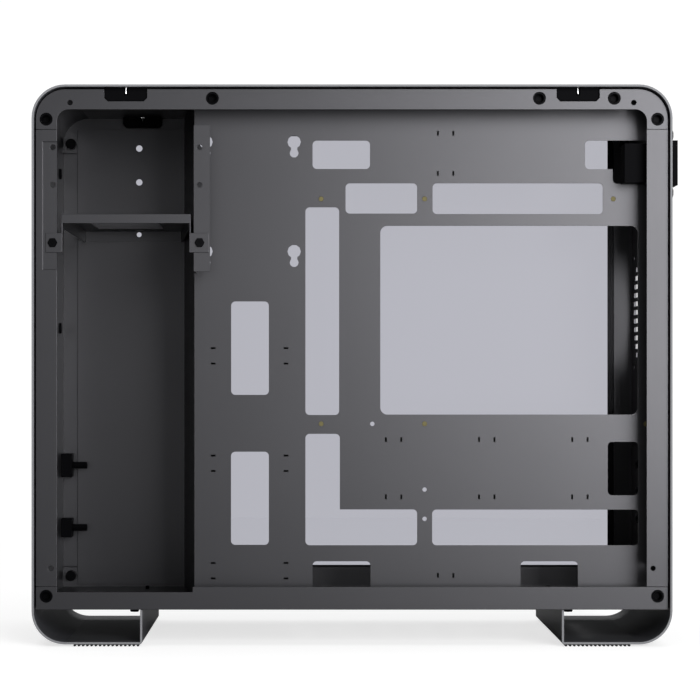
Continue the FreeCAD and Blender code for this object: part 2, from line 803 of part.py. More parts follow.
def chassis_top():
    """Top channel: its web turns down at both round corners, with a flange on each side."""
    body = new_body("chassis_top")
    corner_in = web_corner - S.sheet
    shaped_plate(body, "XZ", -side_out, side_out * 2, [
        (-web_out, rail_foot),
        (-web_in, rail_foot),
        (-web_in, top_in, corner_in),
        (web_in, top_in, corner_in),
        (web_in, rail_foot),
        (web_out, rail_foot),
        (web_out, top_out, web_corner),
        (-web_out, top_out, web_corner),
    ])
    flange_low = top_out - S.top_flange
    for at in (-side_out, side_in):
        shaped_plate(body, "XZ", at, S.sheet, [
            (-web_out, rail_foot),
            (-flange_edge, rail_foot),
            (-flange_edge, flange_low, S.opening_radius),
            (flange_edge, flange_low, S.opening_radius),
            (flange_edge, rail_foot),
            (web_out, rail_foot),
            (web_out, top_out, web_corner),
            (-web_out, top_out, web_corner),
        ])
    for side in ("front", "rear"):
        left, right = clip_notch_edges(side)
        for at in (-side_out, side_out - S.clip_reach):
            sketch = new_sketch(body, "XZ", at)
            outline(sketch, clip_outline(left, right, top_out - S.clip_drop) + [
                (right, top_out),
                (left, top_out),
            ])
            cut_pocket(body, sketch, "XZ", S.clip_reach)
    barrel = S.socket_barrel_radius + S.socket_clearance
    holes(body, "XZ", -side_out, S.sheet, corner_sockets_high + top_sockets, barrel, FASTENER_SIDES)
    holes(body, "XZ", side_in, S.sheet, corner_sockets_high, barrel, FASTENER_SIDES)
    rail_holes = [
        (-web_out + S.rail_hole_side_inset, top_out - S.rail_hole_top_inset),
        (web_out - S.rail_hole_side_inset, top_out - S.rail_hole_top_inset),
    ]
    holes(body, "XZ", -side_out, S.sheet, rail_holes, S.rail_hole_radius, HOLE_SIDES)
    half_opening = S.fan_opening_length / 2
    opening(body, "XY", top_in, S.sheet, fan_middle - half_opening,
            fan_rows - S.fan_opening_width / 2, fan_middle + half_opening,
            fan_rows + S.fan_opening_width / 2)
    slots_front = fan_middle - S.fan_slot_length / 2
    slots_rear = fan_middle + S.fan_slot_length / 2
    for row in (fan_rows - S.fan_pitch / 2, fan_rows + S.fan_pitch / 2):
        opening(body, "XY", top_in, S.sheet, slots_front, row - S.fan_hole_radius,
                slots_rear, row + S.fan_hole_radius)


def chassis_front():
    """Front channel, with the stepped recess that the bracket of the power supply seats in."""
    body = new_body("chassis_front")
    post_top = rail_foot - S.seam
    post_low = floor_out + S.floor_flange + S.seam
    plate(body, "YZ", -web_out, S.sheet, -side_in, floor_in, side_in, post_top)
    for at in (-side_out, side_in):
        plate(body, "XZ", at, S.sheet, -web_out, post_low, -flange_edge, post_top)
    recess_front = -flange_edge - S.recess_width
    recess_low = floor_in + S.recess_sill
    recess_high = recess_low + S.recess_height
    opening(body, "XZ", -side_out, S.sheet, recess_front, recess_low, -flange_edge, recess_high)
    plate(body, "XZ", -side_in, S.sheet, recess_front - S.sheet, recess_low - S.sheet,
          -flange_edge, recess_high + S.sheet)
    bracket_holes = [(recess_hole, up) for up in psu_holes]
    holes(body, "XZ", -side_in, S.sheet, bracket_holes, S.psu_hole_radius, HOLE_SIDES)
    low_hole = [(-web_out + S.post_hole_side_inset, floor_out + S.post_hole_height)]
    holes(body, "XZ", -side_out, S.sheet, low_hole, S.rail_hole_radius, HOLE_SIDES)
    rivet_hole = S.rivet_radius + S.screw_hole_clearance
    holes(body, "YZ", -web_out, S.sheet, rivet_places, rivet_hole, FASTENER_SIDES)
    button_hole = S.button_radius + S.button_clearance
    holes(body, "YZ", -web_out, S.sheet, [(module_across, button_up)], button_hole)
    usb_half = S.usb_wide / 2 + S.usb_clearance
    usb_reach = S.usb_tall / 2 + S.usb_clearance
    opening(body, "YZ", -web_out, S.sheet, module_across - usb_half, usb_up - usb_reach,
            module_across + usb_half, usb_up + usb_reach)


def chassis_rear():
    """Rear channel, with the board's aperture, expansion slots, fan grille and inlet hole."""
    body = new_body("chassis_rear")
    post_top = rail_foot - S.seam
    post_low = floor_out + S.floor_flange + S.seam
    plate(body, "YZ", web_in, S.sheet, -side_in, floor_in, side_in, post_top)
    for at in (-side_out, side_in):
        plate(body, "XZ", at, S.sheet, flange_edge, post_low, web_out, post_top)
    low_hole = [(web_out - S.post_hole_side_inset, floor_out + S.post_hole_height)]
    holes(body, "XZ", -side_out, S.sheet, low_hole, S.rail_hole_radius, HOLE_SIDES)
    io_low = floor_in + S.io_sill
    opening(body, "YZ", web_in, S.sheet, io_near, io_low, io_near + S.io_width, io_low + S.io_length)
    sketch = new_sketch(body, "YZ", web_in)
    rectangle(sketch, slot_near, slot_first - S.slot_opening / 2,
              slot_near + S.slot_length, slot_first + S.slot_opening / 2)
    slot = cut_pocket(body, sketch, "YZ", S.sheet)
    drop = repeat(body, slot, sketch, "V_Axis", S.slot_pitch, S.slot_count)
    drop.Reversed = True
    holes(body, "YZ", web_in, S.sheet, slot_screw_places, screw_hole, FASTENER_SIDES)
    half_count = int(S.rear_fan_grille_radius.value / S.rear_fan_slot_pitch.value)
    sketch = new_sketch(body, "YZ", web_in)
    for step in range(-half_count, half_count + 1):
        rise = S.rear_fan_slot_pitch * step
        reach = (S.rear_fan_grille_radius * S.rear_fan_grille_radius - rise * rise).root()
        level = rear_fan_up + rise
        rectangle(sketch, rear_fan_across - reach, level - S.rear_fan_slot / 2,
                  rear_fan_across + reach, level + S.rear_fan_slot / 2)
    cut_pocket(body, sketch, "YZ", S.sheet)
    fan_screws = four(rear_fan_across, rear_fan_up, S.rear_fan_pitch)
    holes(body, "YZ", web_in, S.sheet, fan_screws, S.fan_hole_radius)
    inlet_half = S.inlet_body_wide / 2 + S.inlet_clearance
    inlet_reach = S.inlet_body_tall / 2 + S.inlet_clearance
    opening(body, "YZ", web_in, S.sheet, inlet_across - inlet_half, inlet_up - inlet_reach,
            inlet_across + inlet_half, inlet_up + inlet_reach)
    holes(body, "YZ", web_in, S.sheet, inlet_screw_places, screw_hole, FASTENER_SIDES)


def chassis_bottom():
    """Floor channel, lower at the power supply, with slots for air."""
    body = new_body("chassis_bottom")
    plate(body, "XY", floor_out, S.sheet, -web_out, -side_out, web_out, side_out)
    flange_high = floor_out + S.floor_flange
    flange_step = floor_out + S.floor_flange_low
    shaped_plate(body, "XZ", -side_out, S.sheet, [
        (-web_out, floor_out),
        (web_out, floor_out),
        (web_out, flange_high),
        (tray_front, flange_high),
        (tray_front, flange_step),
        (-flange_edge, flange_step),
        (-flange_edge, flange_high),
        (-web_out, flange_high),
    ])
    plate(body, "XZ", side_in, S.sheet, -web_out, floor_out, web_out, flange_high)
    barrel = S.socket_barrel_radius + S.socket_clearance
    for at in (-side_out, side_in):
        holes(body, "XZ", at, S.sheet, corner_sockets_low, barrel, FASTENER_SIDES)
    holes(body, "XY", floor_out, S.sheet, tab_screw_places, screw_hole, FASTENER_SIDES)
    vent_span = S.floor_vent_pitch * (S.floor_vent_count - 1)
    vent_start = fan_middle - (vent_span + S.floor_vent_slot) / 2
    sketch = new_sketch(body, "XY", floor_out)
    vent_half = S.vent_slot_length / 2
    rectangle(sketch, vent_start, fan_rows - vent_half,
              vent_start + S.floor_vent_slot, fan_rows + vent_half)
    slots = cut_pocket(body, sketch, "XY", S.sheet)
    repeat(body, slots, sketch, "H_Axis", S.floor_vent_pitch, S.floor_vent_count)


def bridge_slots(sketch, across, up, along):
    """Draw the two slots of a cable-tie bridge, one each side of its strap."""
    long_half = S.bridge_slot_length / 2
    short_half = S.bridge_slot_width / 2
    for side in (Length.of(-1), Length.of(1)):
        shift = side * S.bridge_half_span
        if along == "up":
            rectangle(sketch, across - long_half, up + shift - short_half,
                      across + long_half, up + shift + short_half)
        else:
            rectangle(sketch, across + shift - short_half, up - long_half,
                      across + shift + short_half, up + long_half)


def bridge_loop(sketch, across, up, along):
    """Draw the outline of the loop behind a cable-tie bridge."""
    reach = S.bridge_half_span + S.bridge_slot_width / 2 + S.bridge_loop_wall
    half = S.bridge_slot_length / 2 + S.bridge_loop_wall
    if along == "up":
        rectangle(sketch, across - half, up - reach, across + half, up + reach)
    else:
        rectangle(sketch, across - reach, up - half, across + reach, up + half)


def bridges(body, places, along, axis=None, pitch=None):
    """Press out loops behind the tray and pierce their slots, in rows where an axis is given."""
    sketch = new_sketch(body, "XZ", tray_far)
    for across, up in places:
        bridge_loop(sketch, across, up, along)
    loops = raise_pad(body, sketch, "XZ", S.bridge_loop_height)
    if axis:
        repeat(body, loops, sketch, axis, pitch, S.bridge_rows)
    sketch = new_sketch(body, "XZ", tray_near)
    for across, up in places:
        bridge_slots(sketch, across, up, along)
    depth = S.tray_sheet + S.bridge_loop_height - S.bridge_loop_wall
    slots = cut_pocket(body, sketch, "XZ", depth)
    if axis:
        repeat(body, slots, sketch, axis, pitch, S.bridge_rows)


def tray_bridges(body):
    """Add the cable-tie bridges beside the passes, under the board and at its upper and lower edge."""
    first = web_in - S.bridge_front_rear
    low = floor_in + S.bridge_front_sill
    front = [(first, low), (first + S.bridge_front_pitch, low)]
    bridges(body, front, "up", "V_Axis", S.bridge_front_rise)
    first = web_in - S.bridge_board_rear - S.bridge_board_pitch * (S.bridge_rows - 1)
    low = floor_in + S.bridge_board_sill
    board = [(first, low), (first, low + S.bridge_board_rise)]
    bridges(body, board, "across", "H_Axis", S.bridge_board_pitch)
    across = web_in - S.bridge_edge_rear
    high = floor_in + S.bridge_top_sill
    levels = (floor_in + S.bridge_floor_sill, high, high + S.bridge_top_rise)
    bridges(body, [(across, up) for up in levels], "across")


standoff_places = [
    (column_front, row_high),
    (column_mid, row_high),
    (column_upper, row_high),
    (column_front, row_low),
    (column_mid, row_low),
    (column_rear, row_low),
]


def motherboard_tray():
    """Pierced tray, with cable passes, board holes, drive keyholes and cable-tie bridges."""
    body = new_body("motherboard_tray")
    shaped_plate(body, "XZ", tray_near, S.tray_sheet, [
        (tray_front, floor_in),
        (web_in, floor_in),
        (web_in, top_in, web_corner),
        (tray_front, top_in),
    ])
    for name in TRAY_CUTOUTS:
        right = web_in - size(name + "_rear")
        low = floor_in + size(name + "_sill")
        opening(body, "XZ", tray_near, S.tray_sheet, right - size(name + "_width"), low,
                right, low + size(name + "_height"), S.tray_cut_radius)
    right = web_in - S.cpu_window_rear
    low = floor_in + S.cpu_window_sill
    opening(body, "XZ", tray_near, S.tray_sheet, right - S.cpu_window_width, low,
            right, low + S.cpu_window_height, S.tray_cpu_radius)
    for name in FLOOR_NOTCHES:
        right = web_in - size(name + "_rear")
        left = right - size(name + "_width")
        high = floor_in + size(name + "_height")
        sketch = new_sketch(body, "XZ", tray_near)
        outline(sketch, [(left, floor_in), (right, floor_in), (right, high, S.tray_cut_radius),
                         (left, high, S.tray_cut_radius)])
        cut_pocket(body, sketch, "XZ", S.tray_sheet)
    for name in REAR_NOTCHES:
        left = web_in - size(name + "_length")
        low = floor_in + size(name + "_sill")
        high = low + size(name + "_height")
        sketch = new_sketch(body, "XZ", tray_near)
        outline(sketch, [(left, low, S.tray_cut_radius), (web_in, low), (web_in, high),
                         (left, high, S.tray_cut_radius)])
        cut_pocket(body, sketch, "XZ", S.tray_sheet)
    stem_hole = S.standoff_stem_radius + S.standoff_clearance
    holes(body, "XZ", tray_near, S.tray_sheet, standoff_places, stem_hole, FASTENER_SIDES)
    spare = [
        (column_mid - S.board_hole_offset, row_low),
        (column_mid, row_low - S.board_row_slots),
        (column_mid, row_low - S.board_row_small),
    ]
    holes(body, "XZ", tray_near, S.tray_sheet, spare, S.board_hole_radius, HOLE_SIDES)
    drive_rear = web_in - S.drive_hole_rear
    drive_low = floor_in + S.drive_hole_sill
    drive_places = [
        (drive_rear - S.drive_hole_across * across, drive_low + S.drive_hole_pitch * up)
        for across in (0, 1)
        for up in (0, 1)
    ]
    holes(body, "XZ", tray_near, S.tray_sheet, drive_places, S.keyhole_radius, HOLE_SIDES)
    necks = [(across, up - S.keyhole_drop) for across, up in drive_places]
    holes(body, "XZ", tray_near, S.tray_sheet, necks, S.keyhole_neck_radius, HOLE_SIDES)
    half_slot = S.keyhole_slot / 2
    sketch = new_sketch(body, "XZ", tray_near)
    for across, up in drive_places:
        rectangle(sketch, across - half_slot, up - S.keyhole_drop, across + half_slot, up)
    cut_pocket(body, sketch, "XZ", S.tray_sheet)
    tray_bridges(body)


def board_standoffs():
    """Hexagonal brass standoffs with a stem in the tray and a tapped end."""
    body = new_body("board_standoffs")
    hexagon_radius = S.standoff_across_flats / math.sqrt(3)
    discs(body, "XZ", tray_far, S.standoff_height, standoff_places, hexagon_radius, HEXAGON)
    stem = S.standoff_stem_radius
    discs(body, "XZ", tray_near, S.tray_sheet, standoff_places, stem, FASTENER_SIDES)
    thread_at = tray_far + S.standoff_height - S.standoff_thread_depth
    holes(body, "XZ", thread_at, S.standoff_thread_depth, standoff_places, S.standoff_thread_radius)


def psu_divider():
    """Wall between the power supply and the board, leaning forwards to the far side."""
    body = new_body("psu_divider")
    far_front = tray_front - S.divider_lean
    shaped_plate(body, "XY", floor_in, top_in - floor_in, [
        (tray_front, tray_far),
        (tray_front + S.sheet, tray_far),
        (far_front + S.sheet, cover_near),
        (far_front, cover_near),
    ])


def psu_side_cover():
    """Far wall of the power supply's chamber."""
    body = new_body("psu_side_cover")
    front = -flange_edge - S.cover_front_lap
    rear = tray_front - S.divider_lean + S.sheet + S.cover_lap
    high = top_out - S.top_flange + S.cover_top_lap
    plate(body, "XZ", cover_near, S.sheet, front, floor_in + S.cover_sill, rear, high)
    places = [(cover_hole, up + S.far_hole_lift) for up in psu_holes]
    holes(body, "XZ", cover_near, S.sheet, places, S.cover_hole_radius, HOLE_SIDES)


def psu_rail():
    """Stepped rail on the tray that takes the rear ear of the bracket."""
    body = new_body("psu_rail")
    rear = rail_front + S.rail_width
    low = floor_in + S.rail_sill
    near = -side_in
    shaped_plate(body, "XY", low, S.rail_height, [
        (rail_front, near),
        (rear, near),
        (rear, near + S.sheet),
        (rail_front + S.sheet, near + S.sheet),
        (rail_front + S.sheet, tray_near),
        (rail_front, tray_near),
    ])
    bracket_holes = [(rail_hole, up) for up in psu_holes]
    holes(body, "XZ", near, S.sheet, bracket_holes, S.psu_hole_radius, HOLE_SIDES)


def psu_bracket():
    """Shallow pan, open below, with an ear on each side at the open face of the case."""
    body = new_body("psu_bracket")
    front = -web_in + S.bracket_front
    rear = tray_front - S.bracket_rear
    high = floor_in + S.bracket_level
    low = high - S.bracket_side
    lip_near = -side_in
    rear_far = rear - S.divider_lean
    shaped_plate(body, "XY", high - S.sheet, S.sheet, [
        (front, lip_near),
        (rear, lip_near),
        (rear_far, cover_near),
        (front, cover_near),
    ])
    plate(body, "XZ", lip_near, S.sheet, front, high - S.bracket_lip, rear, high)
    lip_low = high - S.bracket_far_lip
    plate(body, "XZ", cover_near - S.sheet, S.sheet, front, lip_low, rear_far, high)
    plate(body, "YZ", front, S.sheet, lip_near, low, cover_near, high)
    shaped_plate(body, "XY", low, S.bracket_side, [
        (rear - S.sheet, lip_near),
        (rear, lip_near),
        (rear_far, cover_near),
        (rear_far - S.sheet, cover_near),
    ])
    ear_low = floor_in + S.bracket_ear_sill
    ear_high = ear_low + S.bracket_ear_height
    arm_end = lip_near + S.bracket_arm_depth
    for at in (front, rear - S.sheet):
        shaped_plate(body, "YZ", at, S.sheet, [
            (-side_out, ear_low),
            (lip_near + S.sheet, ear_low),
            (arm_end, low),
            (arm_end, high),
            (lip_near, high),
            (lip_near, ear_high),
            (-side_out, ear_high),
        ])
    plate(body, "XZ", -side_out, S.sheet, front - S.bracket_ear_front, ear_low, front, ear_high)
    plate(body, "XZ", -side_out, S.sheet, rear, ear_low, rear + S.bracket_ear_rear, ear_high)
    holes(body, "XZ", -side_out, S.sheet, ear_screw_places, screw_hole, FASTENER_SIDES)
    middle = (lip_near + cover_near) / 2
    half = S.bracket_opening_length / 2
    opening(body, "XY", high - S.sheet, S.sheet, front + S.bracket_opening_rim, middle - half,
            rear_far - S.bracket_opening_rim, middle + half)
    far_hole = [(cover_hole, psu_holes[0] + S.far_hole_lift)]
    holes(body, "XZ", cover_near - S.sheet, S.sheet, far_hole, S.psu_hole_radius, HOLE_SIDES)


def psu_bracket_screws():
    """Screws of the two ears."""
    body = new_body("psu_bracket_screws")
    head_near = -side_out - S.screw_head_height
    screws(body, "XZ", head_near, -side_out, S.screw_length, ear_screw_places)


def panel_sockets(label, plane_out, outwards, places):
    """Ball catch sockets: a ring on the flange and a bored barrel behind it."""
    body = new_body(label)
    ring_at = plane_out - S.socket_ring_height if outwards < 0 else plane_out
    barrel_at = plane_out if outwards < 0 else plane_out - S.socket_depth
    discs(body, "XZ", ring_at, S.socket_ring_height, places, S.socket_ring_radius, HOLE_SIDES)
    discs(body, "XZ", barrel_at, S.socket_depth, places, S.socket_barrel_radius, FASTENER_SIDES)
    bore_at = ring_at if outwards < 0 else barrel_at + S.sheet
    bore_depth = S.socket_ring_height + S.socket_depth - S.sheet
    holes(body, "XZ", bore_at, bore_depth, places, S.socket_bore_radius, FASTENER_SIDES)


def glass_panel():
    """Tinted glass that closes the left side inside the shell."""
    body = new_body("glass_panel")
    reach = shell_inner - S.glass_edge_gap
    at = side_out + S.socket_ring_height
    low = floor_out + S.glass_edge_gap
    high = shell_inner_top - S.glass_edge_gap
    radius = S.shell_corner_radius - S.shell_wall - S.glass_edge_gap
    low_radius = S.opening_radius
    shaped_plate(body, "XZ", at, S.glass_thickness, [
        (-reach, low, low_radius),
        (reach, low, low_radius),
        (reach, high, radius),
        (-reach, high, radius),
    ])


def glass_ball_studs():
    """Ball studs on the glass, seated in the left sockets."""
    body = new_body("glass_ball_studs")
    places = corner_sockets_high + corner_sockets_low
    glass_near = side_out + S.socket_ring_height
    neck_at = glass_near - S.glass_stud_length
    neck = S.glass_stud_neck_radius
    discs(body, "XZ", neck_at, S.glass_stud_length, places, neck, FASTENER_SIDES)
    ball_length = S.glass_stud_length / 2
    discs(body, "XZ", neck_at, ball_length, places, S.glass_stud_radius, FASTENER_SIDES)


def top_clip(label, side, near):
    """Snap clip: a slit block in the notch that carries the shell's top."""
    body = new_body(label)
    left, right = clip_notch_edges(side)
    low = top_out - S.clip_drop + S.clip_clearance
    left = left + S.clip_clearance
    right = right - S.clip_clearance
    depth = S.clip_reach - S.clip_clearance - S.clip_setback
    at = -side_out + S.clip_setback if near else side_out - S.clip_reach + S.clip_clearance
    middle = (left + right) / 2
    slit_low = shell_inner_top - S.clip_slit_foot
    shaped_plate(body, "XZ", at, depth, clip_outline(left, right, low) + [
        (right, shell_inner_top),
        (middle + S.clip_slit / 2, shell_inner_top),
        (middle + S.clip_slit / 2, slit_low),
        (middle - S.clip_slit / 2, slit_low),
        (middle - S.clip_slit / 2, shell_inner_top),
        (left, shell_inner_top),
    ])


def top_clips():
    """One clip at each end of both sides of the top channel."""
    top_clip("top_clip_front_right", "front", True)
    top_clip("top_clip_rear_right", "rear", True)
    top_clip("top_clip_front_left", "front", False)
    top_clip("top_clip_rear_left", "rear", False)


def power_inlet():
    """Mains inlet: an eared flange outside the shell, a block and a hollow body inside."""
    body = new_body("power_inlet")
    half_wide = S.inlet_flange_wide / 2
    half_ear = S.inlet_ear_wide / 2
    half_tall = S.inlet_flange_tall / 2
    half_block = S.inlet_block_tall / 2
    shaped_plate(body, "YZ", half_depth, S.inlet_flange_thick, [
        (inlet_across - half_ear, inlet_up - half_tall),
        (inlet_across + half_ear, inlet_up - half_tall),
        (inlet_across + half_wide, inlet_up - half_block),
        (inlet_across + half_wide, inlet_up + half_block),
        (inlet_across + half_ear, inlet_up + half_tall),
        (inlet_across - half_ear, inlet_up + half_tall),
        (inlet_across - half_wide, inlet_up + half_block),
        (inlet_across - half_wide, inlet_up - half_block),
    ])
    rise = S.inlet_flange_thick + S.inlet_block_rise
    plate(body, "YZ", half_depth, rise, inlet_across - half_wide, inlet_up - half_block,
          inlet_across + half_wide, inlet_up + half_block)
    body_wide = S.inlet_body_wide / 2
    body_tall = S.inlet_body_tall / 2
    inner_at = web_out - S.inlet_inner_depth
    plate(body, "YZ", inner_at, half_depth - inner_at, inlet_across - body_wide,
          inlet_up - body_tall, inlet_across + body_wide, inlet_up + body_tall)
    cavity_wide = S.inlet_cavity_wide / 2
    cavity_tall = S.inlet_cavity_tall / 2
    chamfer = S.inlet_cavity_chamfer
    cavity_at = half_depth + rise - S.inlet_cavity_depth
    sketch = new_sketch(body, "YZ", cavity_at)
    outline(sketch, [
        (inlet_across - cavity_wide, inlet_up - cavity_tall),
        (inlet_across + cavity_wide - chamfer, inlet_up - cavity_tall),
        (inlet_across + cavity_wide, inlet_up - cavity_tall + chamfer),
        (inlet_across + cavity_wide, inlet_up + cavity_tall - chamfer),
        (inlet_across + cavity_wide - chamfer, inlet_up + cavity_tall),
        (inlet_across - cavity_wide, inlet_up + cavity_tall),
    ])
    cut_pocket(body, sketch, "YZ", S.inlet_cavity_depth)
    holes(body, "YZ", half_depth, S.inlet_flange_thick, inlet_screw_places, screw_hole,
          FASTENER_SIDES)


def inlet_pins():
    """Three flat pins that stand on the floor of the inlet's cavity."""
    body = new_body("inlet_pins")
    rise = S.inlet_flange_thick + S.inlet_block_rise
    at = half_depth + rise - S.inlet_cavity_depth
    half_thick = S.inlet_pin_thick / 2
    half_wide = S.inlet_pin_wide / 2
    row = inlet_across - S.inlet_pin_offset
    sketch = new_sketch(body, "YZ", at)
    for side in (Length.of(-1), Length.of(1)):
        level = inlet_up + side * S.inlet_pin_pitch / 2
        rectangle(sketch, row - half_wide, level - half_thick, row + half_wide, level + half_thick)
    earth = inlet_across + S.inlet_pin_offset
    rectangle(sketch, earth - half_wide, inlet_up - half_thick, earth + half_wide, inlet_up + half_thick)
    raise_pad(body, sketch, "YZ", S.inlet_pin_length)


def inlet_screws():
    """Screws of the inlet's ears."""
    body = new_body("inlet_screws")
    face = half_depth + S.inlet_flange_thick
    screws(body, "YZ", face, web_in, face - web_in, inlet_screw_places)


def slot_covers():
    """Blank covers of the expansion slots, on the inside of the rear wall, and their screws."""
    half = S.slot_cover_width / 2
    cover_at = web_in - S.sheet
    near = slot_near - S.slot_cover_lap
    far = slot_near + S.slot_length + S.slot_screw_lap
    for number, place in enumerate(slot_screw_places, start=1):
        body = new_body("slot_cover_%d" % number)
        level = place[1]
        plate(body, "YZ", cover_at, S.sheet, near, level - half, far, level + half)
        holes(body, "YZ", cover_at, S.sheet, [place], screw_hole, FASTENER_SIDES)
    body = new_body("slot_screws")
    screws(body, "YZ", cover_at - S.screw_head_height, cover_at, S.sheet * 2, slot_screw_places)


def front_module(label, sill, tall, up):
    """Black box on the front wall with a short boot towards the inside."""
    body = new_body(label)
    low = floor_in + sill
    plate(body, "YZ", -web_in, S.module_depth, module_near, low, module_far, low + tall)
    boot_at = -web_in + S.module_depth
    discs(body, "YZ", boot_at, S.boot_length, [(module_across, up)], S.boot_radius, FASTENER_SIDES)
    return body


def power_module():
    """Switch box of the power button, bored for the button's stem."""
    body = front_module("power_module", S.power_module_sill, S.power_module_tall, button_up)
    bore = S.button_stem_radius + S.button_clearance
    place = [(module_across, button_up)]
    holes(body, "YZ", -web_in, S.button_bore_depth, place, bore, FASTENER_SIDES)


def power_button():
    """Round push button, flush with the front of the shell."""
    body = new_body("power_button")
    place = [(module_across, button_up)]
    face = -half_depth + S.button_sink
    discs(body, "YZ", face, S.button_cap, place, S.button_radius)
    stem = S.button_stem_radius
    discs(body, "YZ", face + S.button_cap, S.button_stem_length, place, stem, FASTENER_SIDES)


def usb_parts():
    """Socket box, its metal sleeve and the tongue inside the sleeve."""
    body = front_module("usb_module", S.usb_module_sill, S.usb_module_tall, usb_up)
    half_wide = S.usb_wide / 2
    half_tall = S.usb_tall / 2
    slack = S.usb_clearance
    sleeve_end = -half_depth + S.usb_depth
    opening(body, "YZ", -web_in, sleeve_end + web_in, module_across - half_wide - slack,
            usb_up - half_tall - slack, module_across + half_wide + slack, usb_up + half_tall + slack)
    sleeve = new_body("usb_socket")
    plate(sleeve, "YZ", -half_depth, S.usb_depth, module_across - half_wide, usb_up - half_tall,
          module_across + half_wide, usb_up + half_tall)
    wall = S.usb_wall
    opening(sleeve, "YZ", -half_depth, S.usb_depth, module_across - half_wide + wall,
            usb_up - half_tall + wall, module_across + half_wide - wall, usb_up + half_tall - wall)
    tongue = new_body("usb_tongue")
    half_tongue = S.usb_tongue_wide / 2
    low = usb_up + S.usb_tongue_lift - S.usb_tongue_thick / 2
    plate(tongue, "YZ", sleeve_end - S.usb_tongue_length, S.usb_tongue_length,
          module_across - half_tongue, low, module_across + half_tongue, low + S.usb_tongue_thick)


def front_rivets():
    """Push rivets between the front wall and the shell."""
    body = new_body("front_rivets")
    head = S.rivet_head_radius
    discs(body, "YZ", -web_in, S.rivet_head_height, rivet_places, head, HOLE_SIDES)
    shank = S.rivet_radius
    discs(body, "YZ", -shell_inner, shell_inner - web_in, rivet_places, shank, FASTENER_SIDES)


def build():
    """Model every sub-part."""
    outer_shell()
    foot_pads()
    floor_screws()
    chassis_top()
    chassis_front()
    chassis_rear()
    chassis_bottom()
    motherboard_tray()
    board_standoffs()
    psu_divider()
    psu_side_cover()
    psu_rail()
    psu_bracket()
    psu_bracket_screws()
    right_places = corner_sockets_high + top_sockets + corner_sockets_low
    panel_sockets("right_panel_sockets", -side_out, -1, right_places)
    left_places = corner_sockets_high + corner_sockets_low
    panel_sockets("left_panel_sockets", side_out, 1, left_places)
    glass_panel()
    glass_ball_studs()
    top_clips()
    power_inlet()
    inlet_pins()
    inlet_screws()
    slot_covers()
    power_module()
    power_button()
    usb_parts()
    front_rivets()
    doc.recompute()


def check():
    """Stop if any object failed or any sub-part has no sound shape."""
    for thing in doc.Objects:
        if "Invalid" in thing.State or "Error" in thing.State:
            raise RuntimeError("%s is %s" % (thing.Label, thing.State))
        if thing.TypeId == "PartDesign::Pocket" and thing.Shape.Volume >= thing.BaseFeature.Shape.Volume:
            raise RuntimeError("%s removes nothing" % thing.Label)
    for body in pieces:
        if body.Shape.isNull() or not body.Shape.isValid():
            raise RuntimeError("%s has no sound shape" % body.Label)


def write():
    """Write each sub-part to its own file."""
    os.makedirs("parts", exist_ok=True)
    for body in pieces:
        body.Shape.exportStep("parts/%s.step" % body.Label)


build()
check()
write()
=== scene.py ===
"""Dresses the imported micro-ATX computer case and sets up its studio view.

Everything is in metres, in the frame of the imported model: +X to the rear of the case, -Y out of its open
right side, +Z up, with the origin on the floor under the middle of the outer shell.
"""
from __future__ import annotations

import logging
import math
from dataclasses import dataclass
from enum import Enum
from typing import Iterable, Sequence

import bmesh
import bpy
from mathutils import Matrix, Vector

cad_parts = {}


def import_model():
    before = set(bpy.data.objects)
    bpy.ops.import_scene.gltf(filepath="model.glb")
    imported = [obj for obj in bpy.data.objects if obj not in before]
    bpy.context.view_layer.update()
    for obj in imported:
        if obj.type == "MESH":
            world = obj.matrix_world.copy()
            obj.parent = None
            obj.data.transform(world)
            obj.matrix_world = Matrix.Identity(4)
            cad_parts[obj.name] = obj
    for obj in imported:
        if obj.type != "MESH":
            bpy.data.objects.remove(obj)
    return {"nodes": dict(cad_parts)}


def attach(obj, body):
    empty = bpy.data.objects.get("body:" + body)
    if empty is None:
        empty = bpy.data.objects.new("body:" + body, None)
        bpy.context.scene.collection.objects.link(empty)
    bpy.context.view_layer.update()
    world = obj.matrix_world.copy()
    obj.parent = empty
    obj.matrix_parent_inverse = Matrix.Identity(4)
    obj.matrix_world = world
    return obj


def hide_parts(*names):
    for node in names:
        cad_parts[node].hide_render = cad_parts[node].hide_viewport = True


LOG = logging.getLogger("computer_case")
MM = 0.001
CASE_BODY = "case"
BUTTON_BODY = "power_button"
MERGE_DISTANCE = 1e-6

Colour = tuple[float, float, float]
Point = tuple[float, float, float]
Profile = Sequence[tuple[float, float]]
Nodes = dict[str, bpy.types.Object]


class Facing(Enum):
    """The direction that a turned piece's axis points in."""

    FRONT = (-1.0, 0.0, 0.0)
    REAR = (1.0, 0.0, 0.0)
    RIGHT = (0.0, -1.0, 0.0)
    LEFT = (0.0, 1.0, 0.0)
    DOWN = (0.0, 0.0, -1.0)

    def turn(self) -> Matrix:
        """Return the rotation that takes +Z to this direction."""
        return Vector((0.0, 0.0, 1.0)).rotation_difference(Vector(self.value)).to_matrix().to_4x4()


class Surface(Enum):
    """What a finish is made of, which decides how it reflects."""

    METAL = "metal"
    PAINT = "paint"
    PLASTIC = "plastic"


@dataclass(frozen=True)
class Box:
    """The box round one solid of a CAD node."""

    low: Vector
    high: Vector

    @classmethod
    def round(cls, points: Sequence[Vector]) -> Box:
        """Return the box round some points."""
        return cls(Vector(map(min, *points)), Vector(map(max, *points)))

    def middle(self) -> Vector:
        """Return the middle of the box."""
        return (self.low + self.high) / 2

    def end(self, facing: Facing) -> Vector:
        """Return the middle of the side that faces a direction."""
        return self.middle() + Vector(facing.value) * self.along(facing) / 2

    def along(self, facing: Facing) -> float:
        """Return the length along a direction."""
        return abs((self.high - self.low).dot(Vector(facing.value)))


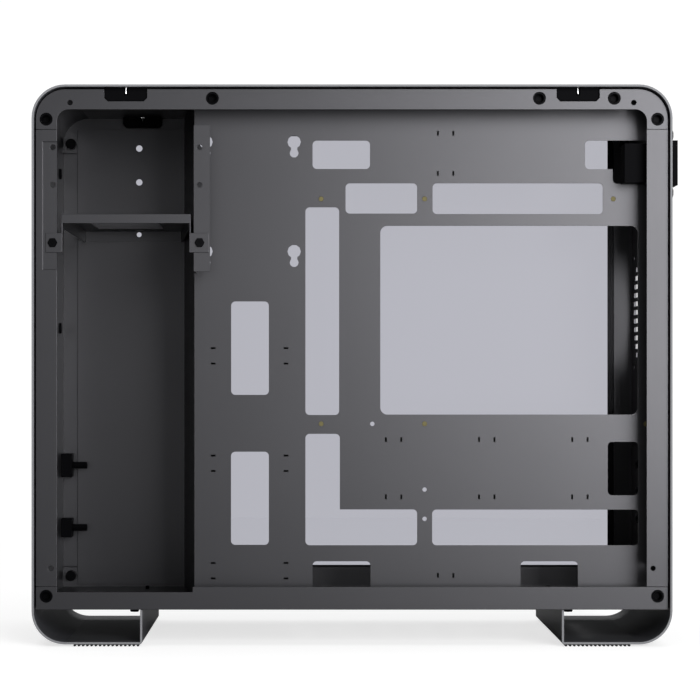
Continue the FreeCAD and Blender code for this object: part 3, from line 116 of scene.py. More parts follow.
class NodeGroups:
    """Shader node groups that several finishes share."""

    GRAIN_DETAIL = 3.0
    GRAIN_ROUGHNESS = 0.6
    CLOUD_DETAIL = 4.0
    NOISE_MIDDLE = 0.5

    @staticmethod
    def _start(name: str, inputs: dict[str, float], outputs: Iterable[str]) -> bpy.types.NodeTree:
        """Create an empty group with float sockets.

        Args:
            name: Name of the group.
            inputs: Input names with their default values.
            outputs: Output names.

        Returns:
            The new group.
        """
        group = bpy.data.node_groups.new(name, "ShaderNodeTree")
        for socket, value in inputs.items():
            made = group.interface.new_socket(socket, in_out="INPUT", socket_type="NodeSocketFloat")
            made.default_value = value
        for socket in outputs:
            group.interface.new_socket(socket, in_out="OUTPUT", socket_type="NodeSocketFloat")
        group.nodes.new("NodeGroupInput").name = "in"
        group.nodes.new("NodeGroupOutput").name = "out"
        return group

    @staticmethod
    def _math(group: bpy.types.NodeTree, operation: str,
              *values: bpy.types.NodeSocket | float) -> bpy.types.NodeSocket:
        """Add a math node to a group.

        Args:
            group: The group to add to.
            operation: What the node does.
            values: Sockets to link, or constants.

        Returns:
            The node's output.
        """
        node = group.nodes.new("ShaderNodeMath")
        node.operation = operation
        for socket, value in zip(node.inputs, values):
            if isinstance(value, float):
                socket.default_value = value
            else:
                group.links.new(value, socket)
        return node.outputs[0]

    @classmethod
    def grain(cls) -> bpy.types.NodeTree:
        """Build the group that gives fine grain and soft cloudiness, at its first use.

        Returns:
            The group, on Object coordinates.
        """
        known = bpy.data.node_groups.get("surface_grain")
        if known:
            return known
        inputs = dict.fromkeys(("Grain Scale", "Cloud Scale", "Cloud Depth"), 1.0)
        group = cls._start("surface_grain", inputs, ("Height", "Cloud"))
        nodes, links = group.nodes, group.links
        place = nodes.new("ShaderNodeTexCoord")
        fine = nodes.new("ShaderNodeTexNoise")
        fine.inputs["Detail"].default_value = cls.GRAIN_DETAIL
        fine.inputs["Roughness"].default_value = cls.GRAIN_ROUGHNESS
        cloud = nodes.new("ShaderNodeTexNoise")
        cloud.inputs["Detail"].default_value = cls.CLOUD_DETAIL
        links.new(place.outputs["Object"], fine.inputs["Vector"])
        links.new(place.outputs["Object"], cloud.inputs["Vector"])
        links.new(nodes["in"].outputs["Grain Scale"], fine.inputs["Scale"])
        links.new(nodes["in"].outputs["Cloud Scale"], cloud.inputs["Scale"])
        spread = cls._math(group, "SUBTRACT", cloud.outputs["Fac"], cls.NOISE_MIDDLE)
        shade = cls._math(group, "MULTIPLY_ADD", spread, nodes["in"].outputs["Cloud Depth"], 1.0)
        links.new(fine.outputs["Fac"], nodes["out"].inputs["Height"])
        links.new(shade, nodes["out"].inputs["Cloud"])
        return group

    @classmethod
    def outside_box(cls) -> bpy.types.NodeTree:
        """Build the group that gives 1 outside a box and 0 inside it, at its first use.

        Returns:
            The group, on Object coordinates.
        """
        known = bpy.data.node_groups.get("outside_box")
        if known:
            return known
        inputs = {"Reach X": 1.0, "Reach Y": 1.0, "Low Z": -1.0, "High Z": 1.0}
        group = cls._start("outside_box", inputs, ("Mask",))
        nodes, links = group.nodes, group.links
        reach = nodes["in"].outputs
        place = nodes.new("ShaderNodeTexCoord")
        axes = nodes.new("ShaderNodeSeparateXYZ")
        links.new(place.outputs["Object"], axes.inputs[0])
        length = cls._math(group, "ABSOLUTE", axes.outputs["X"])
        width = cls._math(group, "ABSOLUTE", axes.outputs["Y"])
        past_x = cls._math(group, "GREATER_THAN", length, reach["Reach X"])
        past_y = cls._math(group, "GREATER_THAN", width, reach["Reach Y"])
        below = cls._math(group, "LESS_THAN", axes.outputs["Z"], reach["Low Z"])
        above = cls._math(group, "GREATER_THAN", axes.outputs["Z"], reach["High Z"])
        sides = cls._math(group, "MAXIMUM", past_x, past_y)
        ends = cls._math(group, "MAXIMUM", below, above)
        links.new(cls._math(group, "MAXIMUM", sides, ends), nodes["out"].inputs["Mask"])
        return group


@dataclass(frozen=True)
class Finish:
    """One material of the case."""

    name: str
    surface: Surface
    colour: Colour
    roughness: float
    specular: float = 0.5
    grain_scale: float = 1800.0
    grain_depth: float = 0.05
    grain_height: float = 0.2 * MM
    cloud_scale: float = 14.0
    cloud_depth: float = 0.12
    gloss_tint: Colour = (0.95, 0.94, 1.0)

    def material(self) -> bpy.types.Material:
        """Build the material at its first use.

        Returns:
            The material.
        """
        known = bpy.data.materials.get(self.name)
        if known:
            return known
        made = bpy.data.materials.new(self.name)
        made.use_nodes = True
        nodes, links = made.node_tree.nodes, made.node_tree.links
        shader = nodes["Principled BSDF"]
        shader.inputs["Metallic"].default_value = 1.0 if self.surface is Surface.METAL else 0.0
        shader.inputs["Specular IOR Level"].default_value = self.specular
        shader.inputs["Specular Tint"].default_value = (*self.gloss_tint, 1.0)
        grain = nodes.new("ShaderNodeGroup")
        grain.name = "grain"
        grain.node_tree = NodeGroups.grain()
        grain.inputs["Grain Scale"].default_value = self.grain_scale
        grain.inputs["Cloud Scale"].default_value = self.cloud_scale
        grain.inputs["Cloud Depth"].default_value = self.cloud_depth
        tint = self._mix(made, "MULTIPLY", 1.0)
        tint.inputs["A"].default_value = (*self.colour, 1.0)
        gloss = nodes.new("ShaderNodeMath")
        gloss.operation = "MULTIPLY"
        gloss.inputs[1].default_value = self.roughness
        bump = nodes.new("ShaderNodeBump")
        bump.inputs["Strength"].default_value = self.grain_depth
        bump.inputs["Distance"].default_value = self.grain_height
        links.new(grain.outputs["Cloud"], tint.inputs["B"])
        links.new(tint.outputs["Result"], shader.inputs["Base Color"])
        links.new(grain.outputs["Cloud"], gloss.inputs[0])
        links.new(gloss.outputs[0], shader.inputs["Roughness"])
        links.new(grain.outputs["Height"], bump.inputs["Height"])
        links.new(bump.outputs["Normal"], shader.inputs["Normal"])
        self._special(made, tint.outputs["Result"])
        return made

    def _special(self, made: bpy.types.Material, colour: bpy.types.NodeSocket) -> None:
        """Add what a finish has beyond its grain, which is nothing on a plain one."""

    @staticmethod
    def _mix(made: bpy.types.Material, blend: str, factor: float) -> bpy.types.Node:
        """Add a colour mix node.

        Args:
            made: The material to add to.
            blend: How the two colours are blended.
            factor: How much of the second colour is used.

        Returns:
            The new node.
        """
        node = made.node_tree.nodes.new("ShaderNodeMix")
        node.data_type = "RGBA"
        node.blend_type = blend
        node.inputs["Factor"].default_value = factor
        return node

    @staticmethod
    def _outside(made: bpy.types.Material, limits: dict[str, float]) -> bpy.types.NodeSocket:
        """Add the mask of what lies outside a box.

        Args:
            made: The material to add to.
            limits: Values for the group's inputs.

        Returns:
            The mask.
        """
        node = made.node_tree.nodes.new("ShaderNodeGroup")
        node.node_tree = NodeGroups.outside_box()
        for socket, value in limits.items():
            node.inputs[socket].default_value = value
        return node.outputs["Mask"]


@dataclass(frozen=True)
class CutEdgeFinish(Finish):
    """A finish whose sheet shows bright metal where its two long edges were cut."""

    edge_colour: Colour = (0.17, 0.172, 0.18)
    edge_roughness: float = 0.8
    edge_reach: float = 0.1022

    def _special(self, made: bpy.types.Material, colour: bpy.types.NodeSocket) -> None:
        """Brighten the cut edges.

        Args:
            made: The material to add to.
            colour: The colour of the coated sheet.
        """
        links = made.node_tree.links
        shader = made.node_tree.nodes["Principled BSDF"]
        mask = self._outside(made, {"Reach Y": self.edge_reach})
        bright = self._mix(made, "MIX", 0.0)
        bright.inputs["B"].default_value = (*self.edge_colour, 1.0)
        links.new(mask, bright.inputs["Factor"])
        links.new(colour, bright.inputs["A"])
        links.new(bright.outputs["Result"], shader.inputs["Base Color"])
        matt = made.node_tree.nodes.new("ShaderNodeMix")
        matt.inputs["B"].default_value = self.edge_roughness
        links.new(mask, matt.inputs["Factor"])
        links.new(shader.inputs["Roughness"].links[0].from_socket, matt.inputs["A"])
        links.new(matt.outputs["Result"], shader.inputs["Roughness"])


@dataclass(frozen=True)
class LoopShadeFinish(Finish):
    """A powder coat with painted shade: near black inside the loops pressed out behind the sheet, where
    shade falls.
    """

    loop_reach: float = 0.0645
    loop_shade_colour: Colour = (0.002, 0.002, 0.002)

    def _special(self, made: bpy.types.Material, colour: bpy.types.NodeSocket) -> None:
        """Paint shade on what lies behind the sheet: a near-black, fully metallic colour stands in for the
        shade inside the loops.

        Args:
            made: The material to add to.
            colour: The colour of the coated sheet.
        """
        links = made.node_tree.links
        shader = made.node_tree.nodes["Principled BSDF"]
        # painted shade: behind the tray's front face the colour goes near black and fully metallic, in
        # place of the shade in the loops
        front = self._outside(made, {"Reach Y": self.loop_reach})
        dark = self._mix(made, "MIX", 0.0)
        dark.inputs["A"].default_value = (*self.loop_shade_colour, 1.0)
        behind = made.node_tree.nodes.new("ShaderNodeMath")
        behind.operation = "SUBTRACT"
        behind.inputs[0].default_value = 1.0
        links.new(front, dark.inputs["Factor"])
        links.new(colour, dark.inputs["B"])
        links.new(dark.outputs["Result"], shader.inputs["Base Color"])
        links.new(front, behind.inputs[1])
        links.new(behind.outputs[0], shader.inputs["Metallic"])


@dataclass(frozen=True)
class GlassFinish(Finish):
    """Tinted glass with a painted border."""

    tint: float = 0.34
    border_reach: float = 0.1987
    border_low: float = 0.042
    border_high: float = 0.3694
    border_colour: Colour = (0.004, 0.004, 0.005)

    def _special(self, made: bpy.types.Material, colour: bpy.types.NodeSocket) -> None:
        """Let light through inside the border.

        Args:
            made: The material to add to.
            colour: The colour of the tint.
        """
        links = made.node_tree.links
        shader = made.node_tree.nodes["Principled BSDF"]
        mask = self._outside(made, {
            "Reach X": self.border_reach, "Low Z": self.border_low, "High Z": self.border_high})
        paint = self._mix(made, "MIX", 0.0)
        paint.inputs["B"].default_value = (*self.border_colour, 1.0)
        links.new(mask, paint.inputs["Factor"])
        links.new(colour, paint.inputs["A"])
        links.new(paint.outputs["Result"], shader.inputs["Base Color"])
        cover = made.node_tree.nodes.new("ShaderNodeMath")
        cover.operation = "MAXIMUM"
        cover.inputs[1].default_value = self.tint
        links.new(mask, cover.inputs[0])
        links.new(cover.outputs[0], shader.inputs["Alpha"])


COAT_COLOUR: Colour = (0.009, 0.0092, 0.0104)
COAT_ROUGHNESS = 0.33
COAT_GRAIN = 2200.0
MOULDED_COLOUR: Colour = (0.002, 0.002, 0.0024)
MOULDED_GRAIN = 1500.0
METAL_GRAIN = 2400.0

SHELL_METAL = CutEdgeFinish(
    "shell_anodised", Surface.PAINT, (0.034, 0.035, 0.039), roughness=0.4, grain_scale=2600.0,
    grain_depth=0.06)
CHASSIS_PAINT = Finish(
    "chassis_powder_coat", Surface.PAINT, COAT_COLOUR, COAT_ROUGHNESS, grain_scale=COAT_GRAIN)
# the tray's powder coat, with painted shade inside its pressed-out loops
TRAY_COAT_AND_LOOP_SHADE = LoopShadeFinish(
    "tray_powder_coat_and_loop_shade", Surface.PAINT, COAT_COLOUR, COAT_ROUGHNESS, grain_scale=COAT_GRAIN)
BLACK_PLASTIC = Finish(
    "moulded_black", Surface.PLASTIC, MOULDED_COLOUR, roughness=0.5, specular=0.015,
    grain_scale=MOULDED_GRAIN)
SOCKET_PLASTIC = Finish(
    "socket_black", Surface.PLASTIC, MOULDED_COLOUR, roughness=0.3, specular=0.02,
    grain_scale=MOULDED_GRAIN, grain_depth=0.03)
RUBBER = Finish(
    "pad_rubber", Surface.PLASTIC, (0.004, 0.004, 0.004), roughness=0.8, specular=0.05, grain_scale=1200.0,
    grain_depth=0.1)
BRASS = Finish(
    "turned_brass", Surface.METAL, (0.18, 0.16, 0.08), roughness=0.75, grain_scale=METAL_GRAIN)
STEEL = Finish(
    "plated_steel", Surface.METAL, (0.6, 0.6, 0.61), roughness=0.3, grain_scale=METAL_GRAIN)
BLACK_STEEL = Finish(
    "blackened_steel", Surface.METAL, (0.004, 0.004, 0.0045), roughness=0.35, grain_scale=METAL_GRAIN)
TINTED_GLASS = GlassFinish(
    "tinted_pane", Surface.PLASTIC, (0.012, 0.013, 0.022), roughness=0.25, specular=0.1, grain_scale=300.0,
    grain_depth=0.0)


class Maker:
    """Makes the meshes of new pieces from bmesh operators."""

    @staticmethod
    def solids(node: bpy.types.Object) -> list[Box]:
        """Return the boxes of the separate solids in a CAD node.

        Args:
            node: The CAD node, whose mesh is only read.

        Returns:
            One box for each solid.
        """
        shape = bmesh.new()
        shape.from_mesh(node.data)
        bmesh.ops.remove_doubles(shape, verts=shape.verts, dist=MERGE_DISTANCE)
        left = set(shape.verts)
        boxes = []
        while left:
            island = []
            border = [left.pop()]
            while border:
                vert = border.pop()
                island.append(vert.co.copy())
                near = {edge.other_vert(vert) for edge in vert.link_edges} & left
                left -= near
                border.extend(near)
            boxes.append(Box.round(island))
        shape.free()
        return boxes

    @staticmethod
    def turned(shape: bmesh.types.BMesh, profile: Profile, place: Vector, facing: Facing,
               steps: int = 32) -> None:
        """Add a turned solid to a bmesh.

        Args:
            shape: The bmesh to add to.
            profile: Points of (radius, height) from the axis at one end to the axis at the other.
            place: Where height 0 lies on the axis.
            facing: Where the axis points.
            steps: Number of faces round the axis.
        """
        part = bmesh.new()
        corners = [part.verts.new((radius, 0.0, height)) for radius, height in profile]
        edges = [part.edges.new(pair) for pair in zip(corners, corners[1:])]
        bmesh.ops.spin(part, geom=corners + edges, cent=(0, 0, 0), axis=(0, 0, 1),
                       angle=2 * math.pi, steps=steps, use_merge=True)
        bmesh.ops.remove_doubles(part, verts=part.verts, dist=MERGE_DISTANCE)
        bmesh.ops.recalc_face_normals(part, faces=part.faces)
        bmesh.ops.transform(part, matrix=Matrix.Translation(place) @ facing.turn(), verts=part.verts)
        copy = bpy.data.meshes.new("part")
        part.to_mesh(copy)
        part.free()
        shape.from_mesh(copy)
        bpy.data.meshes.remove(copy)

    @staticmethod
    def finish(name: str, shape: bmesh.types.BMesh, finish: Finish, slot: str, nodes: Iterable[str] = (),
               body: str = CASE_BODY) -> bpy.types.Object:
        """Turn a bmesh into a piece of the case.

        Args:
            name: Name of the piece.
            shape: Its mesh, freed here.
            finish: Its material.
            slot: The record's material slot; not used.
            nodes: CAD nodes that it stands for.
            body: The body that it rides on.

        Returns:
            The new object.
        """
        mesh = bpy.data.meshes.new(name)
        shape.to_mesh(mesh)
        shape.free()
        mesh.materials.append(finish.material())
        piece = bpy.data.objects.new(name, mesh)
        bpy.context.scene.collection.objects.link(piece)
        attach(piece, body)
        if nodes:
            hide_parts(*nodes)
        LOG.info("made %s with %d faces", name, len(mesh.polygons))
        return piece


@dataclass
class CadPieces:
    """CAD nodes that keep their shape and get a finish and broken edges."""

    finish: Finish
    names: tuple[str, ...]
    edge: float = 0.25 * MM
    segments: int = 2
    edge_angle: float = math.radians(50.0)
    flat_angle: float = math.radians(1.0)

    def build(self, nodes: Nodes) -> None:
        """Put the finish and the broken edges on the nodes.

        Args:
            nodes: The CAD nodes by name.
        """
        for name in self.names:
            piece = nodes[name]
            piece.data.materials.clear()
            piece.data.materials.append(self.finish.material())
            self._break_edges(piece)
            LOG.info("dressed %s with %s", name, self.finish.name)

    def _break_edges(self, piece: bpy.types.Object) -> None:
        """Join the loose triangles and bevel the sharp edges, by modifiers.

        Args:
            piece: The CAD node's object.
        """
        weld = piece.modifiers.new("weld", "WELD")
        weld.merge_threshold = MERGE_DISTANCE
        flat = piece.modifiers.new("flat", "DECIMATE")
        flat.decimate_type = "DISSOLVE"
        flat.angle_limit = self.flat_angle
        bevel = piece.modifiers.new("edge", "BEVEL")
        bevel.limit_method = "ANGLE"
        bevel.angle_limit = self.edge_angle
        bevel.width = self.edge
        bevel.segments = self.segments


@dataclass
class PanelSockets:
    """Ball catches of a side panel: a rimmed ring, a funnel and a bored barrel."""

    node: str
    facing: Facing
    ring_radius: float = 4.45 * MM
    ring_height: float = 0.4 * MM
    barrel_radius: float = 3.9 * MM
    bore_radius: float = 2.6 * MM
    groove: float = 0.45 * MM
    floor: float = 1.0 * MM

    def build(self, nodes: Nodes) -> None:
        """Turn the sockets where the CAD node has them.

        Args:
            nodes: The CAD nodes by name.
        """
        shape = bmesh.new()
        for box in Maker.solids(nodes[self.node]):
            depth = box.along(self.facing)
            rim = self.ring_radius - self.groove
            lip = self.bore_radius + self.groove
            profile = (
                (0.0, -depth + self.floor), (self.bore_radius, -depth + self.floor),
                (self.bore_radius, -self.groove * 3), (lip, -self.groove / 2),
                (lip + self.groove / 3, -self.groove / 2), (lip + self.groove / 2, -self.groove),
                (rim - self.groove / 2, -self.groove), (rim, 0.0),
                (self.ring_radius - self.groove / 3, 0.0), (self.ring_radius, -self.groove / 3),
                (self.ring_radius, -self.ring_height), (self.barrel_radius, -self.ring_height),
                (self.barrel_radius, -depth + self.groove), (self.barrel_radius - self.groove, -depth),
                (0.0, -depth),
            )
            Maker.turned(shape, profile, box.end(self.facing), self.facing)
        Maker.finish(self.node + "_turned", shape, SOCKET_PLASTIC, "black_plastic", (self.node,))


@dataclass
class Screws:
    """Hexagon-headed screws with a chamfered head and a threaded shank."""

    node: str
    facing: Facing
    finish: Finish
    head_radius: float = 3.46 * MM
    head_height: float = 1.8 * MM
    shank_radius: float = 1.5 * MM
    thread_depth: float = 0.2 * MM
    thread_pitch: float = 0.5 * MM
    chamfer: float = 0.5 * MM
    hexagon: int = 6
    steps: int = 24

    def build(self, nodes: Nodes) -> None:
        """Make the screws where the CAD node has them.

        Args:
            nodes: The CAD nodes by name.
        """
        shape = bmesh.new()
        for box in Maker.solids(nodes[self.node]):
            place = box.end(self.facing)
            head = (
                (0.0, -self.chamfer / 2), (self.head_radius / 3, -self.chamfer / 2),
                (self.head_radius / 3 + self.chamfer / 2, 0.0), (self.head_radius - self.chamfer, 0.0),
                (self.head_radius, -self.chamfer), (self.head_radius, -self.head_height),
                (0.0, -self.head_height),
            )
            Maker.turned(shape, head, place, self.facing, self.hexagon)
            shank = self._thread(box.along(self.facing))
            Maker.turned(shape, shank, place, self.facing, self.steps)
        Maker.finish(self.node + "_turned", shape, self.finish, "steel", (self.node,))

    def _thread(self, length: float) -> list[tuple[float, float]]:
        """Lay out the threaded shank.

        Args:
            length: Length of the whole screw.

        Returns:
            The shank's profile, from under the head to its end.
        """
        root = self.shank_radius - self.thread_depth
        turns = int((length - self.head_height) / self.thread_pitch)
        profile = [(0.0, -self.head_height)]
        for turn in range(turns):
            level = -self.head_height - turn * self.thread_pitch
            profile.append((root, level))
            profile.append((self.shank_radius, level - self.thread_pitch / 2))
        return profile + [(root, -length), (0.0, -length)]


@dataclass
class FrontRivets:
    """Push rivets of the front wall, with a dished head round a pin."""

    node: str = "front_rivets"
    head_radius: float = 4.0 * MM
    head_height: float = 1.5 * MM
    shank_radius: float = 1.96 * MM
    pin_radius: float = 1.3 * MM
    dish: float = 0.35 * MM

    def build(self, nodes: Nodes) -> None:
        """Turn the rivets where the CAD node has them.

        Args:
            nodes: The CAD nodes by name.
        """
        shape = bmesh.new()
        for box in Maker.solids(nodes[self.node]):
            length = box.along(Facing.REAR)
            profile = (
                (0.0, -self.dish / 2), (self.pin_radius, -self.dish / 2),
                (self.pin_radius, -self.dish * 2), (self.pin_radius + self.dish / 2, -self.dish * 2),
                (self.pin_radius + self.dish, -self.dish),
                (self.head_radius - self.dish * 2, 0.0), (self.head_radius - self.dish, 0.0),
                (self.head_radius, -self.dish * 2), (self.head_radius, -self.head_height),
                (self.shank_radius, -self.head_height), (self.shank_radius, -length), (0.0, -length),
            )
            Maker.turned(shape, profile, box.end(Facing.REAR), Facing.REAR)
        Maker.finish("front_rivets_turned", shape, BLACK_PLASTIC, "black_plastic", (self.node,))


@dataclass
class BallStuds:
    """Ball studs of the glass panel."""

    node: str = "glass_ball_studs"
    ball_radius: float = 2.2 * MM
    neck_radius: float = 1.4 * MM
    ball_points: int = 9

    def build(self, nodes: Nodes) -> None:
        """Turn the studs where the CAD node has them.

        Args:
            nodes: The CAD nodes by name.
        """
        shape = bmesh.new()
        neck_angle = math.acos(-math.sqrt(1.0 - (self.neck_radius / self.ball_radius) ** 2))
        for box in Maker.solids(nodes[self.node]):
            length = box.along(Facing.RIGHT)
            angles = [neck_angle * number / self.ball_points for number in range(self.ball_points + 1)]
            profile = [
                (self.ball_radius * math.sin(angle), self.ball_radius * (math.cos(angle) - 1.0))
                for angle in angles
            ]
            profile += [(self.neck_radius, -length), (0.0, -length)]
            Maker.turned(shape, profile, box.end(Facing.RIGHT), Facing.RIGHT)
        Maker.finish("glass_ball_studs_turned", shape, STEEL, "steel", (self.node,))


@dataclass
class ClipStuds:
    """Bright studs under the shell's top that the snap clips hold."""

    clips: tuple[str, ...]
    radius: float = 0.9 * MM
    waist: float = 0.65 * MM
    length: float = 4.4 * MM
    setback: float = 1.3 * MM

    def build(self, nodes: Nodes) -> None:
        """Hang a stud in the slit of each clip.

        Args:
            nodes: The CAD nodes by name.
        """
        shape = bmesh.new()
        for name in self.clips:
            box = Box.round([Vector(vert.co) for vert in nodes[name].data.vertices])
            place = box.end(Facing.DOWN)
            place.z = box.high.z
            outer = box.low.y if box.low.y < 0.0 else box.high.y
            place.y = outer - math.copysign(self.setback, outer)
            tip = self.radius - self.waist
            profile = (
                (0.0, 0.0), (self.radius, 0.0), (self.waist, tip), (self.waist, self.length / 2),
                (self.radius, self.length / 2 + tip), (self.radius, self.length - tip),
                (self.waist, self.length), (0.0, self.length),
            )
            Maker.turned(shape, profile, place, Facing.DOWN)
        Maker.finish("clip_studs", shape, STEEL, "steel")


@dataclass
class PowerButton:
    """Round push button with a dished face and a broken rim."""

    node: str = "power_button"
    cap_radius: float = 6.0 * MM
    cap_height: float = 1.5 * MM
    stem_radius: float = 3.0 * MM
    rim: float = 0.4 * MM
    dish: float = 0.25 * MM
    dish_points: int = 6
    steps: int = 64

    def build(self, nodes: Nodes) -> None:
        """Turn the button where the CAD node has it.

        Args:
            nodes: The CAD nodes by name.
        """
        box = Maker.solids(nodes[self.node])[0]
        length = box.along(Facing.FRONT)
        land = self.cap_radius - self.rim * 2
        shares = [number / self.dish_points for number in range(self.dish_points + 1)]
        profile = [(land * share, self.dish * (share * share - 1.0)) for share in shares]
        profile += [
            (self.cap_radius - self.rim, 0.0), (self.cap_radius, -self.rim),
            (self.cap_radius, -self.cap_height), (self.stem_radius, -self.cap_height),
            (self.stem_radius, -length), (0.0, -length),
        ]
        shape = bmesh.new()
        Maker.turned(shape, profile, box.end(Facing.FRONT), Facing.FRONT, self.steps)
        Maker.finish("power_button_turned", shape, SHELL_METAL, "button", (self.node,), BUTTON_BODY)


@dataclass(frozen=True)
class SoftLight:
    """A soft rectangular light, with its power in watts."""

    name: str
    place: Point
    aim: Point
    size: tuple[float, float]
    power: float

    def build(self) -> None:
        """Stand the light in the scene."""
        data = bpy.data.lights.new(self.name, "AREA")
        data.shape = "RECTANGLE"
        data.size, data.size_y = self.size
        data.energy = self.power
        light = bpy.data.objects.new(self.name, data)
        light.location = self.place
        direction = Vector(self.aim) - Vector(self.place)
        light.rotation_euler = direction.to_track_quat("-Z", "Y").to_euler()
        bpy.context.scene.collection.objects.link(light)


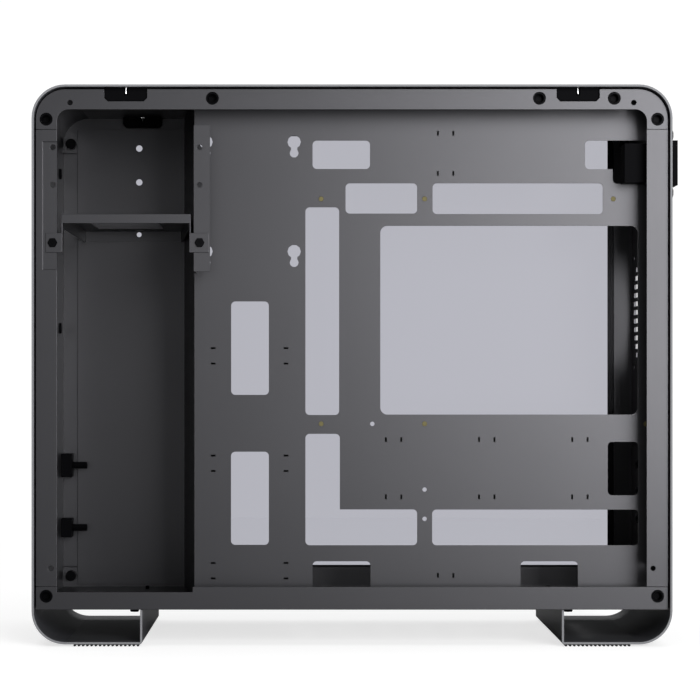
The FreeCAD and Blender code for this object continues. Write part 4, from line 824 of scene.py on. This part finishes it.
@dataclass
class Studio:
    """Camera, lights, floor and background."""

    camera_place: Point = (-0.0316, -1.9075, 0.1824)
    focal_px: float = 2630.0
    frame_px: float = 700.0
    vanishing_px: tuple[float, float] = (306.0, 381.0)
    sensor_mm: float = 36.0
    floor_radius: float = 1.6
    floor_segments: int = 96
    floor_roughness: float = 0.9
    floor_colour: Colour = (0.4, 0.4, 0.4)
    floor_bounce: Colour = (0.4, 0.4, 0.4)
    floor_glow: float = 0.72
    white: Colour = (1.0, 1.0, 1.0)
    pane_cast: Colour = (0.985, 0.99, 1.09)
    backdrop_strength: float = 1.05
    fill_colour: Colour = (0.95, 0.97, 1.0)
    fill_strength: float = 0.08
    lights: tuple[SoftLight, ...] = (
        SoftLight("key", (1.0, -2.45, 0.58), (0.1, 0.0, 0.2), (1.4, 1.8), 104.0),
        SoftLight("front", (-0.3, -2.65, 0.35), (0.0, 0.0, 0.2), (1.4, 1.4), 5.0),
        SoftLight("rear", (0.0, 2.3, 2.0), (0.0, 0.0, 0.2), (2.0, 1.2), 20.0),
        SoftLight("overhead", (0.0, 0.0, 2.4), (0.0, 0.0, 0.0), (3.0, 3.0), 40.0),
    )

    def camera(self) -> None:
        """Set the camera at the view of the photograph."""
        data = bpy.data.cameras.new("camera")
        data.sensor_width = self.sensor_mm
        data.lens = self.focal_px / self.frame_px * self.sensor_mm
        middle = self.frame_px / 2
        data.shift_x = (middle - self.vanishing_px[0]) / self.frame_px
        data.shift_y = (self.vanishing_px[1] - middle) / self.frame_px
        camera = bpy.data.objects.new("camera", data)
        camera.location = self.camera_place
        camera.rotation_euler = (math.pi / 2, 0.0, 0.0)
        bpy.context.scene.collection.objects.link(camera)
        bpy.context.scene.camera = camera

    def _through_pane(self, tree: bpy.types.NodeTree, plain: Colour) -> bpy.types.NodeSocket:
        """Add a colour that turns bluish where it is seen through the tinted pane.

        Args:
            tree: The nodes to add to.
            plain: The colour where it is seen directly.

        Returns:
            The colour.
        """
        path = tree.nodes.new("ShaderNodeLightPath")
        cast = tree.nodes.new("ShaderNodeMix")
        cast.data_type = "RGBA"
        cast.inputs["A"].default_value = (*plain, 1.0)
        tinted = [part * share for part, share in zip(plain, self.pane_cast)]
        cast.inputs["B"].default_value = (*tinted, 1.0)
        tree.links.new(path.outputs["Transparent Depth"], cast.inputs["Factor"])
        return cast.outputs["Result"]

    def floor(self) -> None:
        """Lay a pale round floor."""
        shape = bmesh.new()
        bmesh.ops.create_circle(
            shape, cap_ends=True, segments=self.floor_segments, radius=self.floor_radius)
        mesh = bpy.data.meshes.new("floor")
        shape.to_mesh(mesh)
        shape.free()
        material = bpy.data.materials.new("floor")
        material.use_nodes = True
        nodes, links = material.node_tree.nodes, material.node_tree.links
        seen = nodes["Principled BSDF"]
        colour = self._through_pane(material.node_tree, self.floor_colour)
        glow = self._through_pane(material.node_tree, self.white)
        links.new(colour, seen.inputs["Base Color"])
        links.new(glow, seen.inputs["Emission Color"])
        seen.inputs["Roughness"].default_value = self.floor_roughness
        seen.inputs["Specular IOR Level"].default_value = 0.0
        seen.inputs["Emission Strength"].default_value = self.floor_glow
        lit = nodes.new("ShaderNodeBsdfDiffuse")
        lit.inputs["Color"].default_value = (*self.floor_bounce, 1.0)
        path = nodes.new("ShaderNodeLightPath")
        mix = nodes.new("ShaderNodeMixShader")
        links.new(path.outputs["Is Camera Ray"], mix.inputs["Fac"])
        links.new(lit.outputs[0], mix.inputs[1])
        links.new(seen.outputs[0], mix.inputs[2])
        links.new(mix.outputs[0], nodes["Material Output"].inputs["Surface"])
        mesh.materials.append(material)
        floor = bpy.data.objects.new("floor", mesh)
        bpy.context.scene.collection.objects.link(floor)

    def background(self) -> None:
        """Show white behind the case, bluish through the pane, and light it dimly from all round."""
        world = bpy.data.worlds.new("studio")
        world.use_nodes = True
        nodes, links = world.node_tree.nodes, world.node_tree.links
        seen = nodes["Background"]
        seen.inputs["Strength"].default_value = self.backdrop_strength
        lit = nodes.new("ShaderNodeBackground")
        lit.inputs["Color"].default_value = (*self.fill_colour, 1.0)
        lit.inputs["Strength"].default_value = self.fill_strength
        path = nodes.new("ShaderNodeLightPath")
        mix = nodes.new("ShaderNodeMixShader")
        links.new(self._through_pane(world.node_tree, self.white), seen.inputs["Color"])
        links.new(path.outputs["Is Camera Ray"], mix.inputs["Fac"])
        links.new(lit.outputs[0], mix.inputs[1])
        links.new(seen.outputs[0], mix.inputs[2])
        links.new(mix.outputs[0], nodes["World Output"].inputs["Surface"])
        bpy.context.scene.world = world

    def build(self, nodes: Nodes) -> None:
        """Set up the whole studio round the case.

        Args:
            nodes: The CAD nodes by name; not used, and the studio leaves them as they are.
        """
        bpy.context.scene.view_settings.view_transform = "Standard"
        self.camera()
        self.floor()
        self.background()
        for light in self.lights:
            light.build()
        LOG.info("studio is set")


def main() -> None:
    """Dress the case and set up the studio."""
    logging.basicConfig(level=logging.INFO, format="%(name)s: %(message)s")
    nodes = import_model()["nodes"]
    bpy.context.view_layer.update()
    clips = ("top_clip_front_right", "top_clip_rear_right", "top_clip_front_left", "top_clip_rear_left")
    assemblies = (
        CadPieces(SHELL_METAL, ("outer_shell",), edge=0.3 * MM),
        CadPieces(CHASSIS_PAINT, (
            "chassis_top", "chassis_front", "chassis_rear", "chassis_bottom", "psu_divider",
            "psu_side_cover", "psu_rail", "psu_bracket", "slot_cover_1", "slot_cover_2", "slot_cover_3",
            "slot_cover_4")),
        CadPieces(TRAY_COAT_AND_LOOP_SHADE, ("motherboard_tray",)),
        CadPieces(BLACK_PLASTIC, clips + (
            "power_inlet", "power_module", "usb_module", "usb_tongue"), edge=0.4 * MM),
        CadPieces(RUBBER, (
            "foot_pad_front_right", "foot_pad_front_left", "foot_pad_rear_right", "foot_pad_rear_left")),
        CadPieces(BRASS, ("board_standoffs", "inlet_pins")),
        CadPieces(STEEL, ("usb_socket",), edge=0.1 * MM),
        CadPieces(TINTED_GLASS, ("glass_panel",), edge=0.4 * MM),
        PanelSockets("right_panel_sockets", Facing.RIGHT),
        PanelSockets("left_panel_sockets", Facing.LEFT),
        Screws("psu_bracket_screws", Facing.RIGHT, BLACK_STEEL),
        Screws("floor_screws", Facing.DOWN, BLACK_STEEL),
        Screws("inlet_screws", Facing.REAR, BLACK_STEEL),
        Screws("slot_screws", Facing.FRONT, BLACK_STEEL),
        FrontRivets(),
        BallStuds(),
        ClipStuds(clips),
        PowerButton(),
        Studio(),
    )
    for assembly in assemblies:
        assembly.build(nodes)


if __name__ == "__main__":
    main()
